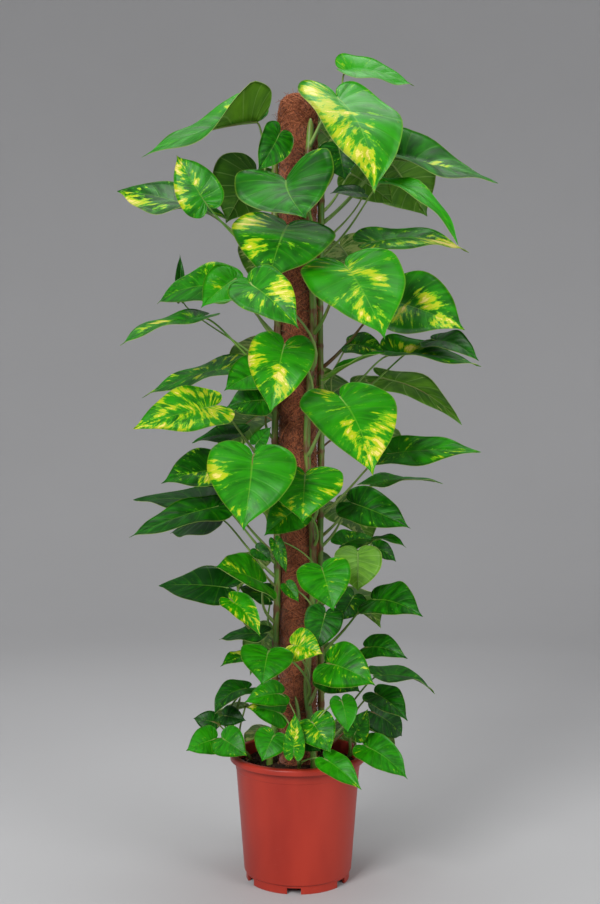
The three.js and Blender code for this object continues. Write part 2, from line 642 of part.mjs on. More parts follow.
function makeLeafyStem(curve, radius, sides, steps, leaves, lowest, highest) {
  const solids = [tube(curve, radius, sides, steps)];
  const stemAt = (z) => pointAtHeight(curve, z);
  for (const row of leaves) {
    solids.push(makePetiole(row, stemAt, lowest, highest));
    solids.push(makeBlade(row));
  }
  return joined(solids);
}

function makeVine(stem) {
  const curve = climbingCurve(stem);
  const lowest = SOIL_CROWN + STEM_BARE[0];
  const highest = stem.top - STEM_BARE[1];
  return makeLeafyStem(curve, STEM_RADIUS, STEM_SIDES, STEM_STEPS, stem.leaves, lowest, highest);
}

function makeShoot(shoot) {
  const curve = new THREE.CatmullRomCurve3(shoot.path.map(vector), false, 'centripetal');
  const lowest = SOIL_CROWN + SHOOT_BARE[0];
  const highest = shoot.path[shoot.path.length - 1][2] - SHOOT_BARE[1];
  return makeLeafyStem(curve, SHOOT_RADIUS, SHOOT_SIDES, SHOOT_STEPS, shoot.leaves, lowest, highest);
}

// ---- the whole plant ----
const plant = new THREE.Group();
plant.add(meshOf('pot', makePot(), 0xa8392a, 0.42));
plant.add(meshOf('soil', makeSoil(), 0x2e2119, 0.95));
plant.add(meshOf('pole_core', makeCore(), 0x3a3a3a, 0.6));
plant.add(meshOf('coir_sleeve', makeCoir(), 0x8a4b2c, 0.95));
for (const stem of STEMS) plant.add(meshOf(stem.name, makeVine(stem), stem.color, 0.4));
for (const shoot of SHOOTS) plant.add(meshOf(shoot.name, makeShoot(shoot), shoot.color, 0.4));

export default plant;
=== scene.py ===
"""Golden pothos climbing a coir pole, in a plastic nursery pot. Metres, +Z up."""
import random
from math import acos, atan, atan2, cos, hypot, pi, radians, sin, sqrt, tan

import bmesh
import bpy
import numpy as np
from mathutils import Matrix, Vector, noise


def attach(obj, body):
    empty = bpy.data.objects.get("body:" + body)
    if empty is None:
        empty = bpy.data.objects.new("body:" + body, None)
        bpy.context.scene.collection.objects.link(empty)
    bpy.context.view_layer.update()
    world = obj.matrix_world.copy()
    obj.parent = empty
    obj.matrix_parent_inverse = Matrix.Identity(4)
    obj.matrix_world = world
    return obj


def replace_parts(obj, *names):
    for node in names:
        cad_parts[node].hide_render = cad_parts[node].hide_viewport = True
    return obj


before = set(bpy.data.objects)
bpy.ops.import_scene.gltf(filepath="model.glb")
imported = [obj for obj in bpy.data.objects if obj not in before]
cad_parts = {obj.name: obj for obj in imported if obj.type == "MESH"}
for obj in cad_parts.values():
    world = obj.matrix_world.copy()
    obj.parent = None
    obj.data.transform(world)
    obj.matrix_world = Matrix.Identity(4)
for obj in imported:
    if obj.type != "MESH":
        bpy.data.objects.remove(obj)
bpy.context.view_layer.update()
MM = 0.001

# ---- named values ----
# Lengths are in millimetres. Sizes that the solids have too are the same there, but for thicker blades.
POT_HEIGHT = 220
RIM_RADIUS = 120
LIP_HEIGHT = 10.5
WALL = 2
WALL_TOP_RADIUS = 111
WALL_BOTTOM_RADIUS = 95
STEP_BELOW_RIM = 28
STEP_DEPTH = 0.8
FOOT_RADIUS = 91.5
FOOT_THICKNESS = 4.5
FOOT_HEIGHT = 14
FOOT_LEDGE = 2
STEP_SLOPE = 2
WALL_DRAFT = 1
FLOOR_LOW = 12
FLOOR_TOP = 14.5
NOTCH_COUNT = 6
NOTCH_WIDTH = 24
NOTCH_TURN = -4
NOTCH_ROUNDING = 1.2
CUT_REACH = 4
DRAIN_RADIUS = 5
DRAIN_CIRCLE = 70
POT_SIDES = 144

SOIL_EDGE = 199
SOIL_CROWN = 204
SOIL_LUMPS = 1.6
SOIL_LUMP_SPAN = 16
CRUMB_COUNT = 520
CRUMB_SIZE, LUMP_SIZE = (1.0, 2.6), (2.6, 4.6)

COIR_RADIUS = 33
COIR_BOTTOM = 152
COIR_TOP = 1385
COIR_DOME = 32
COIR_SHOULDER = COIR_TOP - COIR_DOME
# How far the coir runs over its dome, and where it ends when its height is counted along it.
DOME_RUN = 1.45 * COIR_DOME
COIR_END = COIR_SHOULDER + DOME_RUN
COIR_LUMPS = 0.9
COIR_WINDING = 0.5

STRAND_COUNT = 3600
STRAND_LENGTH = (18, 62)
STRAND_RADIUS = (0.24, 0.5)
STRAND_LIFT = (0.3, 2.4)
# The share of strands with a loose end and how far it stands off, then of those laid near the top.
LOOSE_SHARE = 0.09
LOOSE_RISE = (4, 13)
TOP_SHARE = 0.12
TOP_BAND = 60

STEM_RADIUS = 6.2
STEM_FOOT = 132
STEM_PLANT_RADIUS = 53
STEM_CLIMB_RADIUS = 41.5
STEM_LEAN_RADIUS = 43.5
STEM_LEAN_HEIGHTS = (216, 274)
STEM_CLIMB_FROM = 334
STEM_CLIMB_STEP = 90
STEM_SWAY = 9
STEM_SWAY_HEIGHT = 70
STEM_SIDES = 10
# The lengths without a petiole at the foot of a stem, over the soil, and at its top.
STEM_BARE = (20, 12)
SHOOT_BARE = (12, 6)
SHOOT_RADIUS = 3
SHOOT_SIDES = 8
KNOT_SPACING = (34, 76)
KNOT_SIZE = 4
KNOT_SWELL = 0.14
KNOT_TIP_MARGIN = 10
ROOTS_FROM = SOIL_CROWN + 60
ROOT_TOP_RADIUS = 1.3
ROOT_END_RADIUS = 0.4
PETIOLE_RADIUS = 2.1
PETIOLE_SIDES = 7
PETIOLE_SEAT = 6
PETIOLE_DROP = 20
PETIOLE_SLOPE = 0.55
# Handles of its curve as shares of its reach: out and up from the stem, back and up from the blade.
PETIOLE_LEAVE = (0.4, 0.3)
PETIOLE_ARRIVE = (0.16, 0.02)
STALK_STEPS = 15
RIB_STEPS = 9
RIB_END = 0.88
RIB_TAPER = (0.75, 0.15)
BLADE_THICKNESS = 0.7
BLADE_WAVE = 0.03
BLADE_WAVE_RATE = 9
FOLD_EASING = 0.45
CUP_FADE = 3
SMALL_LEAF = 60

# The eye of the view: leaf places are given as seen from it against the plane of the pole.
EYE_DISTANCE = 2046
EYE_HEIGHT = 768
EYE_X = 4
EYE_PITCH = 0.41
EYE_FOCAL = 1151
PICTURE_HEIGHT = 904

# Half of a heart-shaped blade, from the notch at the petiole round the lobe to the tip: along the midrib,
# then across it as a share of the half width.
MARGIN = [(0, 0), (-0.09, 0.07), (-0.15, 0.24), (-0.15, 0.6), (0.02, 0.97), (0.34, 0.97), (0.64, 0.66),
          (0.86, 0.22), (0.93, 0.07), (1, 0)]
SIDE_VEINS = 9
RIB_LEAD = 0.05
# Rows and columns of half a blade's grid, on large and on small leaves.
BLADE_GRID, SMALL_GRID = (36, 6), (24, 5)
# Relief of a blade as shares of its length: puffed between the veins, frilled edge, sunken midrib.
PILLOW, FRILL, GROOVE = 0.0075, 0.012, -0.006
# Width of a petiole against its radius, at shares of the way from the stem to the blade.
SHEATH_SHARES = [0, 0.12, 0.4, 0.85, 0.95, 1]
SHEATH_WIDTHS = [1.9, 1.6, 1.05, 0.9, 1.15, 0.85]

# Marbling of the upper face: the paleness at which each colour starts and is full, and the colour.
MARBLING = [(0.845, 0.87, (92, 166, 4)), (0.895, 0.92, (172, 188, 22)), (0.99, 1.03, (222, 206, 106))]
DEPTH_RANGE = (-0.2, 1.1)
LEAF_RELIEF = 0.0006

CURVE_STEPS = 12
GRAIN_LENGTH = 30

# ---- leaves ----
# Petiole end, tip, blade width, way the upper face looks, shape, depth of green, marbling, and then pale
# patches, each as a place along and across the blade, a radius and a strength. The shape is the midrib's
# bow, the fold, and on some leaves the midrib's bow to the side, the twist in degrees and the lobes' rise.
LEFT_LEAVES = [
    [(-72, -40, 1340), (-277, -90, 1276), 100, (0, -1, 9), (.05, 0, 0, 40, 2.3), .35, .1,
     (.12, .5, .16, .9)],
    [(-32, -100, 1319), (-72, -112, 1251), 60, (5, -8, 1), (.08, .3), .6, .1],
    [(-74, 70, 1251), (-128, 130, 1159), 138, (-2, 8, 3), (.08, .2), .8, .1],
    [(-163, -75, 1194), (-215, -66, 1280), 78, (-2, -9, 2), (.06, .1), .35, .24,
     (.8, -.2, .25, 1), (.35, -.85, .3, 1.1), (.4, .05, .12, .9)],
    [(-167, 20, 1180), (-321, 100, 1216), 130, (0, -1, 8), (.04, 0, 0, 60), .75, .14,
     (.75, -.55, .36, 1.5), (.35, -.8, .25, .9)],
    [(-124, -20, 1047), (-250, 30, 1016), 112, (0, -6, 6), (.12, .2), .4, .25, (.35, .5, .3, .6)],
    [(-110, -95, 1061), (-172, -150, 1009), 76, (0, -9, 3), (.08, .25), .05, .12, (.45, .35, .22, .8)],
    [(-208, 60, 1029), (-209, 60, 1105), 20, (0, -9, 1), (0, .8), .9, 0],
    [(-172, -30, 992), (-316, -110, 942), 92, (0, -2, 8), (.06, .2), .5, .28, (.45, .3, .15, .8)],
    [(-124, 30, 903), (-277, 100, 849), 90, (0, -5, 8), (.05, .1), .55, .36],
    [(-149, -85, 835), (-293, -150, 794), 112, (0, -7, 7), (.03, .15), .3, .54],
    [(-64, -66, 896), (-131, -100, 862), 76, (-2, -8, 3), (.08, .25), .35, .1],
    [(-53, -72, 846), (-128, -60, 832), 84, (0, -7, 6), (.06, .3), .7, .15],
    [(-103, -5, 785), (-188, 50, 769), 56, (0, -6, 8), (.06, .3), .8, .08],
    [(-74, -60, 768), (-47, -72, 798), 30, (0, -9, 2), (.05, .2), .4, 0],
    [(-128, -60, 721), (-243, -110, 697), 98, (-1, -7, 6), (.08, .3), .7, .2, (.3, -.4, .25, .9)],
    [(-135, -20, 663), (-293, 20, 668), 100, (0, -3, 8), (.03, .1), .95, .05],
    [(-142, -78, 657), (-300, -150, 601), 72, (0, -5, 7), (.04, .1), .8, .05],
    [(-142, 40, 636), (-227, 130, 608), 84, (0, -6, 6), (.04, .1), 1, 0],
    [(-124, 0, 512), (-248, 60, 515), 84, (0, -6, 6), (.04, .1), .95, 0],
    [(-64, -95, 521), (-149, -165, 549), 100, (0, -6, 7), (.04, .3), .35, .22, (.7, .4, .2, .9)],
    [(-120, -110, 490), (-67, -132, 425), 50, (3, -7, 6), (.16, .3), .1, .45],
    [(-49, 40, 490), (-106, 90, 511), 62, (0, -3, 8), (.1, .3), .9, .1],
    [(-64, -60, 430), (-140, -30, 419), 60, (0, -3, 8), (.06, .1), .9, 0],
    [(-85, -30, 387), (-138, -80, 371), 42, (0, -4, 7), (.1, .3), .6, .3, (.3, .7, .3, .7)],
    [(-74, -64, 581), (-46, -76, 558), 30, (0, -8, 4), (.08, .2), .8, .1],
]

FRONT_LEAVES = [
    [(-21, -111, 1235), (15, -195, 1168), 170, (-2, -5, 8), (.08, 0, .07, 0, .8), .6, 0,
     (-.1, -.9, .22, 1.1)],
    [(-19, -110, 1155), (-53, -190, 1052), 172, (0, -8, 5), (.1, .1), .55, .2,
     (.15, .9, .3, 1.3), (.5, .5, .3, .7), (.45, -.15, .15, .6)],
    [(-85, -190, 1052), (2, -235, 972), 92, (1, -9, 3), (.1, .25), .45, .25,
     (.45, -.5, .28, 1.3), (.35, .45, .2, .8)],
    [(-24, -140, 944), (-49, -190, 821), 108, (0, -9, 3), (.1, .22), .2, .3,
     (.35, .85, .25, 1), (.5, 0, .22, .9), (.75, -.4, .2, .8)],
    [(-80, -150, 748), (-97, -215, 613), 146, (0, -9, 4), (.1, .2, -.02), .25, .18,
     (.35, .85, .22, 1), (.8, .3, .15, .7)],
    [(13, -120, 714), (8, -175, 627), 128, (0, -9, 4), (.08, .22), .2, .32],
    [(0, -95, 654), (-60, -125, 604), 68, (0, -9, 3), (.08, .25), .3, .3],
    [(75, -130, 851), (134, -235, 711), 148, (1, -8, 4), (.08, .15, -.03), .2, .26,
     (-.1, .35, .15, 1), (.75, -.1, .25, 1), (.6, -.6, .25, .8), (.5, .3, .15, .6)],
    [(84, -135, 1084), (155, -235, 953), 166, (1, -8, 4), (.08, .15), .2, .24,
     (.15, -.1, .15, .9), (.35, -.25, .22, 1), (.5, .15, .22, .9), (.65, .1, .22, .9)],
    [(70, -77, 1383), (136, -190, 1212), 160, (3, -8, 7), (.08, .1, -.04, 0, .2), .2, .3,
     (.1, .6, .3, .9), (.35, .5, .35, 1.1), (.35, .15, .25, .8), (.65, .3, .28, 1), (.8, -.1, .15, .6)],
    [(43, -120, 547), (64, -165, 470), 90, (0, -9, 3), (.08, .3), .3, .22],
    [(50, -66, 468), (32, -92, 398), 66, (-1, -9, 2), (.06, .25), .7, .05],
    [(-53, -135, 398), (-64, -185, 337), 88, (0, -9, 3), (.1, .25), .4, .1],
    [(-10, -100, 410), (45, -130, 394), 64, (0, -8, 5), (.08, .2), 0, .6],
    [(54, -115, 377), (139, -165, 337), 88, (1, -8, 4), (.14, .2), .4, .28],
    [(49, -62, 362), (111, -85, 326), 78, (1, -7, 5), (.1, .25), .8, .2],
    [(-40, -72, 594), (-20, -84, 538), 25, (1, -9, 3), (.05, .4), .5, .3],
    [(-20, -66, 517), (2, -82, 486), 26, (1, -9, 3), (.05, .4), .5, .3],
]

RIGHT_LEAVES = [
    [(86, 24, 1429), (207, 50, 1402), 84, (0, -6, 6), (.08, 0, 0, 0, .7), 0, .15, (.1, -.5, .3, .5)],
    [(166, -20, 1274), (356, -60, 1230), 124, (0, -5, 6), (.04, 0, 0, 15, 1.2), .65, .1,
     (.38, .05, .16, 1.1), (.1, .3, .12, 1.2)],
    [(157, -80, 1232), (285, -140, 1120), 50, (3, -6, 6), (.16, .2), .1, .15],
    [(168, 70, 1264), (230, 140, 1171), 138, (2, 8, 2), (.08, .2), .6, .1],
    [(96, 30, 1247), (171, 60, 1192), 80, (0, 6, 5), (.08, .2), .5, .1],
    [(72, -50, 1297), (84, -50, 1235), 76, (-1, -9, 3), (.08, .2), .9, .1],
    [(132, -10, 1125), (304, 40, 1107), 92, (0, -5, 7), (.1, .15), .55, .3,
     (.7, .2, .3, 1.5), (.3, .5, .2, .8)],
    [(164, -60, 1022), (297, -150, 970), 138, (1, -8, 3), (.06, .15, 0, 0, .2), .45, .3,
     (.45, -.25, .22, 1.1), (.3, .35, .25, 1), (.75, .1, .2, .7)],
    [(242, -40, 951), (322, -110, 915), 60, (1, -7, 5), (.12, .25), .7, .05],
    [(166, -20, 926), (326, -90, 905), 84, (0, -5, 8), (.06, 0, 0, 15, 1.1), .45, .28,
     (.2, -.3, .15, 1.2)],
    [(93, 0, 944), (157, -15, 926), 62, (0, -6, 6), (.1, .25), .7, .35],
    [(60, -50, 888), (155, -100, 930), 38, (0, -3, 8), (.06, .6), .3, .1],
    [(153, 18, 885), (292, 50, 801), 72, (1, 5, 8), (.1, 0, .03), .6, .15],
    [(160, -60, 750), (326, -110, 753), 90, (0, -5, 7), (.04, .1), .45, .28],
    [(137, 0, 695), (258, 80, 697), 74, (0, -1, 8), (.06, .2), .4, .2],
    [(96, -75, 663), (201, -140, 617), 76, (1, -8, 4), (.04, .2), .75, .15],
    [(107, -80, 576), (107, -100, 505), 82, (1, 8, 0), (.05, .15), .3, 0],
    [(79, 10, 588), (139, 60, 596), 62, (0, -4, 7), (.1, .25), .5, .2],
    [(136, -15, 597), (193, -60, 583), 34, (0, -3, 8), (.12, .3), .5, .2],
    [(136, -76, 490), (223, -150, 460), 84, (1, -7, 5), (.12, .25), .7, .08],
    [(123, -30, 405), (196, -80, 385), 56, (1, -7, 5), (.16, .25), .7, .1],
    [(146, 10, 355), (244, 70, 322), 58, (0, -3, 8), (.12, .35), .5, .15],
    [(139, -30, 323), (196, -90, 274), 60, (2, -7, 4), (.1, .3), .8, .1],
    [(132, 10, 291), (185, 50, 247), 64, (2, -6, 3), (.14, .2), .9, .1],
    [(100, -5, 498), (74, -14, 452), 56, (0, -9, 3), (.08, .2), .8, .2],
    [(136, 15, 585), (175, 20, 558), 36, (1, -6, 5), (.1, .3), .7, .2],
    [(114, -20, 1212), (57, -48, 1212), 40, (0, -6, 5), (.08, .2), .9, .1],
]

BACK_LEAVES = [
    [(24, 108, 1335), (80, 240, 1270), 150, (1, 5, 7), (.1, .25), .4, .4],
    [(-40, 132, 1130), (-74, 246, 1041), 120, (-2, 6, 5), (.1, .25), .6, .3],
    [(75, 126, 1121), (118, 246, 1024), 132, (2, 6, 5), (.1, .25), .3, .55],
    [(-8, 134, 1065), (-30, 252, 960), 150, (0, 8, 4), (.1, .22), .5, .2],
    [(-53, 118, 944), (-103, 222, 849), 112, (-3, 5, 6), (.1, .25), .4, .5],
    [(93, 122, 873), (132, 228, 775), 118, (3, 6, 5), (.1, .25), .6, .35],
    [(5, 136, 880), (18, 252, 770), 145, (0, 8, 4), (.1, .22), .3, .45],
    [(-71, 116, 819), (-135, 216, 736), 110, (-3, 6, 5), (.1, .25), .7, .3],
    [(98, 108, 790), (185, 200, 735), 118, (3, 5, 6), (.1, .25), .5, .5],
    [(-20, 130, 720), (-55, 238, 625), 125, (-1, 8, 4), (.1, .22), .4, .2],
    [(70, 118, 660), (132, 212, 585), 115, (2, 6, 5), (.1, .25), .6, .4],
    [(-58, 108, 570), (-108, 200, 501), 88, (-3, 6, 5), (.12, .25), .3, .5],
    [(10, 118, 560), (22, 216, 475), 110, (0, 8, 4), (.1, .22), .7, .25],
    [(80, 98, 500), (148, 180, 440), 95, (3, 6, 5), (.1, .25), .5, .35],
    [(-46, 100, 437), (-85, 180, 355), 80, (-2, 7, 4), (.1, .25), .6, .2],
    [(25, 100, 400), (55, 184, 330), 90, (1, 8, 4), (.1, .22), .4, .4],
]

FRONT_SHOOT_LEAVES = [
    [(25, -112, 274), (59, -142, 217), 66, (1, -9, 3), (.12, .2), .35, .34],
    [(-7, -142, 216), (-5, -134, 290), 36, (0, -9, 1), (.04, .3), .3, .35, (.5, 0, .25, .7)],
    [(-42, -118, 250), (-64, -142, 202), 58, (-1, -9, 3), (.08, .15), .3, 0, (-.1, .3, .2, .7)],
    [(50, -132, 206), (114, -176, 151), 46, (1, -7, 5), (.08, .3), .15, .15, (.9, .2, .15, .8)],
    [(78, -106, 312), (89, -124, 254), 46, (2, -8, 4), (.1, .2), .1, .1],
    [(15, -98, 245), (41, -112, 220), 42, (0, -9, 4), (.08, .2), .8, .1],
    [(-30, -94, 323), (-96, -126, 307), 50, (-1, -8, 5), (.12, .25), .3, .2],
    [(-30, -84, 288), (-92, -114, 298), 58, (-1, -8, 5), (.1, .25), .35, .15, (.85, .1, .18, 1.1)],
]

RIGHT_SHOOT_LEAVES = [
    [(121, -78, 229), (196, -112, 170), 64, (2, -7, 5), (.14, .25), .35, .15],
    [(100, -72, 249), (125, -84, 296), 42, (0, -9, 2), (.05, .25), .5, .36],
    [(104, 20, 262), (176, 60, 214), 66, (3, 2, 6), (.14, .25), .5, .3],
]

LEFT_SHOOT_LEAVES = [
    [(-88, -32, 332), (-149, -60, 282), 62, (-3, -4, 7), (.22, .3), .85, .1],
    [(-131, -26, 284), (-92, -38, 275), 38, (0, -7, 4), (.08, .2), 1, 0],
    [(-147, 0, 272), (-186, 5, 279), 36, (0, -7, 3), (.1, .2), .9, .1],
    [(-147, -40, 242), (-199, -64, 221), 56, (0, -7, 5), (.08, .25), .15, .15],
    [(-134, -64, 243), (-90, -92, 212), 58, (0, -8, 4), (.1, .2), .3, .2],
    [(-92, 40, 300), (-150, 84, 250), 68, (-3, 4, 6), (.14, .25), .5, .3],
]

BACK_SHOOT_LEAVES = [
    [(0, 108, 290), (-6, 172, 232), 76, (0, 7, 5), (.12, .22), .4, .4],
    [(52, 98, 262), (98, 158, 212), 68, (2, 6, 5), (.12, .22), .5, .2],
    [(-48, 100, 258), (-92, 160, 218), 66, (-2, 6, 5), (.12, .22), .3, .5],
]

# Each climbing stem: the way it stands from the pole's axis, in degrees from the front, its top, its leaves.
STEMS = {
    "vine_front": (32, 1335, FRONT_LEAVES),
    "vine_left": (-68, 1310, LEFT_LEAVES),
    "vine_right": (100, 1300, RIGHT_LEAVES),
    "vine_back": (182, 1290, BACK_LEAVES),
}

# Young shoots at the foot: the points that each stem follows, from inside the soil upwards, and its leaves.
SHOOTS = {
    "shoot_front": ([(2, -78, 150), (2, -80, 205), (4, -88, 240), (2, -78, 300), (-4, -72, 335)],
                    FRONT_SHOOT_LEAVES),
    "shoot_right": ([(84, -18, 150), (84, -20, 205), (92, -30, 228), (90, -34, 262)], RIGHT_SHOOT_LEAVES),
    "shoot_left": ([(-82, 6, 150), (-84, 6, 205), (-104, 0, 232), (-116, -8, 262), (-102, -4, 318)],
                   LEFT_SHOOT_LEAVES),
    "shoot_back": ([(4, 80, 150), (4, 82, 205), (2, 86, 236), (0, 84, 272)], BACK_SHOOT_LEAVES),
}


# ---- places and curves ----
def unit(vector):
    return vector / np.linalg.norm(vector)


def placed(place):
    """The real place of a point that is seen at x, z against the pole's plane and lies at depth y."""
    x, y, z = place
    nearness = (EYE_DISTANCE + y) / EYE_DISTANCE
    return np.array([EYE_X + (x - EYE_X) * nearness, y, EYE_HEIGHT + (z - EYE_HEIGHT) * nearness])


def around(radius, turn, z):
    angle = radians(turn)
    return np.array([radius * sin(angle), -radius * cos(angle), z])


def lengths_along(path):
    """How far along a path each of its points lies."""
    return np.concatenate([[0], np.cumsum(np.linalg.norm(np.diff(path, axis=0), axis=1))])


def smooth_path(points, count):
    """Points evenly spaced along the smooth centripetal curve through the given ones."""
    points = np.array(points, float)
    ends = [2 * points[0] - points[1]], [2 * points[-1] - points[-2]]
    knots = np.concatenate([ends[0], points, ends[1]])
    gaps = np.maximum(np.linalg.norm(np.diff(knots, axis=0), axis=1) ** 0.5, 1e-9)
    times = np.concatenate([[0], np.cumsum(gaps)])
    dense = [points[0]]
    for i in range(1, len(knots) - 2):
        for time in np.linspace(times[i], times[i + 1], CURVE_STEPS + 1)[1:]:
            level = knots[i - 1:i + 3]
            for first, width in ((i - 1, 1), (i - 1, 2), (i, 1)):
                starts = times[first:first + len(level) - 1]
                ends = times[first + width:first + width + len(starts)]
                shares = ((time - starts) / (ends - starts))[:, None]
                level = level[:-1] * (1 - shares) + level[1:] * shares
            dense.append(level[0])
    dense = np.array(dense)
    lengths = lengths_along(dense)
    wanted = np.linspace(0, lengths[-1], count)
    return np.column_stack([np.interp(wanted, lengths, dense[:, k]) for k in range(dense.shape[1])])


def bezier(corners, count):
    t = np.linspace(0, 1, count)[:, None]
    a, b, c, d = corners
    return a * (1 - t) ** 3 + 3 * b * t * (1 - t) ** 2 + 3 * c * t ** 2 * (1 - t) + d * t ** 3


def point_at_height(path, z):
    return np.array([np.interp(z, path[:, 2], path[:, k]) for k in range(3)])


# ---- meshes ----
def add_object(name, data):
    made = bpy.data.objects.new(name, data)
    bpy.context.scene.collection.objects.link(made)
    return made


def finish_piece(name, mesh, materials):
    """Makes the mesh a piece of the part's one body."""
    for material in materials:
        mesh.materials.append(material)
    piece = add_object(name, mesh)
    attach(piece, "root")
    return piece


class Pile:
    """Points and faces gathered from many small shapes, then made into one mesh."""

    def __init__(self):
        self.points, self.faces, self.kinds, self.flats, self.marks, self.looks = [], [], [], [], [], []
        self.count = 0

    def add(self, points, faces, marks=(0, 0, 0), looks=(0, 0, 0), kinds=None, flats=None):
        self.faces += [tuple(corner + self.count for corner in face) for face in faces]
        self.kinds += kinds or [0] * len(faces)
        self.flats += flats or [False] * len(faces)
        self.points.append(np.asarray(points, float))
        self.marks.append(np.broadcast_to(marks, (len(points), 3)))
        self.looks.append(np.broadcast_to(looks, (len(points), 3)))
        self.count += len(points)

    def add_tube(self, path, radii, sides, seed, looks, kind=0):
        points, faces, marks = tube(path, radii, sides, seed)
        self.add(points, faces, marks, looks, [kind] * len(faces))

    def build(self, name, materials, slot):
        mesh = bpy.data.meshes.new(name)
        mesh.from_pydata((np.concatenate(self.points) * MM).tolist(), [], self.faces)
        mesh.update()
        mesh.polygons.foreach_set("material_index", self.kinds)
        mesh.polygons.foreach_set("use_smooth", [not flat for flat in self.flats])
        for title, values in (("mark", self.marks), ("look", self.looks)):
            layer = mesh.attributes.new(title, "FLOAT_VECTOR", "POINT")
            layer.data.foreach_set("vector", np.concatenate(values).astype(np.float32).ravel())
        return finish_piece(name, mesh, materials)


def ring_faces(count, sides):
    """Faces between rings of points that follow one another, and over the two ends."""
    faces = []
    for i in range(count - 1):
        for k in range(sides):
            after = (k + 1) % sides
            faces.append((i * sides + k, i * sides + after, (i + 1) * sides + after, (i + 1) * sides + k))
    faces.append(tuple(range(sides))[::-1])
    faces.append(tuple((count - 1) * sides + k for k in range(sides)))
    return faces


def tube(path, radii, sides, seed):
    """Points, faces and grain marks of a closed round tube along a path."""
    path = np.asarray(path, float)
    count = len(path)
    radii = np.broadcast_to(radii, (count,))
    tangents = np.gradient(path, axis=0)
    tangents /= np.linalg.norm(tangents, axis=1)[:, None]
    start = np.array([0, 0, 1.0]) if abs(tangents[0][2]) < 0.9 else np.array([1.0, 0, 0])
    normal = unit(np.cross(tangents[0], start))
    angles = np.arange(sides) * 2 * pi / sides
    lengths = lengths_along(path)
    points, marks = [], []
    for i in range(count):
        normal = unit(normal - tangents[i] * normal.dot(tangents[i]))
        other = np.cross(tangents[i], normal)
        ring = np.cos(angles)[:, None] * normal + np.sin(angles)[:, None] * other
        points.append(path[i] + ring * radii[i])
        grain = np.full(sides, lengths[i] / GRAIN_LENGTH)
        marks.append(np.column_stack([np.sin(angles), np.cos(angles) + seed, grain]))
    return np.concatenate(points), ring_faces(count, sides), np.concatenate(marks)


# ---- materials ----
class Field:
    """A value that varies over a surface, made by a material's nodes. Fields add up and multiply."""

    def __init__(self, shader, socket):
        self.shader, self.socket = shader, socket

    def __add__(self, other):
        return self.math("ADD", other)

    def __mul__(self, other):
        return self.math("MULTIPLY", other)

    def math(self, operation, other=0.0):
        return self.shader.node("Math", {0: self, 1: other}, operation=operation)

    def stretch(self, x, y, z):
        return self.shader.node("VectorMath", {0: self, 1: (x, y, z)}, operation="MULTIPLY")

    def split(self):
        separate = self.shader.node("SeparateXYZ", {0: self}).socket.node
        return [Field(self.shader, socket) for socket in separate.outputs]

    def noise(self, scale=1.0, detail=2.0, roughness=0.5):
        inputs = {"Vector": self, "Scale": scale, "Detail": detail, "Roughness": roughness}
        return self.shader.node("TexNoise", inputs, "Fac")

    def rise(self, start, end):
        """0 at the start value and 1 at the end value, smooth between them."""
        inputs = {"Value": self, "From Min": start, "From Max": end}
        return self.shader.node("MapRange", inputs, "Result", interpolation_type="SMOOTHSTEP")

    def between(self, low, high):
        """Stretches a share from 0 to 1 over a range."""
        return self.shader.node("MapRange", {"Value": self, "To Min": low, "To Max": high}, "Result")

    def mix(self, first, second):
        """The first colour where this is 0 and the second where it is 1."""
        return self.shader.node("Mix", {0: self, 6: first, 7: second}, 2, data_type="RGBA")


class Shader:
    """A material whose node tree is built by short calls."""

    def __init__(self, name, **settings):
        self.material = bpy.data.materials.new(name)
        self.material.use_nodes = True
        self.tree = self.material.node_tree
        self.surface = self.tree.nodes["Principled BSDF"]
        for title, value in settings.items():
            self.feed(self.surface.inputs[title.replace("_", " ")], value)

    def feed(self, socket, value):
        if isinstance(value, Field):
            self.tree.links.new(value.socket, socket)
        else:
            socket.default_value = value

    def node(self, kind, inputs, output=0, **settings):
        made = self.tree.nodes.new("ShaderNode" + kind)
        for title, value in settings.items():
            setattr(made, title, value)
        for place, value in inputs.items():
            self.feed(made.inputs[place], value)
        return Field(self, made.outputs[output])

    def attribute(self, name):
        return self.node("Attribute", {}, "Vector", attribute_name=name)

    def place(self):
        return self.node("TexCoord", {}, "Object")

    def join(self, x, y, z):
        return self.node("CombineXYZ", {0: x, 1: y, 2: z})

    def finish(self, color, roughness, height=None, depth=0.0, strength=1.0):
        """Sets the surface's colour and roughness, and a relief that is as deep in metres as given."""
        inputs = {"Base Color": color, "Roughness": roughness}
        if height:
            inputs["Normal"] = self.node("Bump", {"Height": height, "Distance": depth, "Strength": strength})
        for title, value in inputs.items():
            self.feed(self.surface.inputs[title], value)
        return self.material


def rgb(red, green, blue):
    """A colour from its values in an 8-bit sRGB picture."""
    def linear(value):
        share = value / 255
        return share / 12.92 if share <= 0.04045 else ((share + 0.055) / 1.055) ** 2.4
    return (linear(red), linear(green), linear(blue), 1.0)


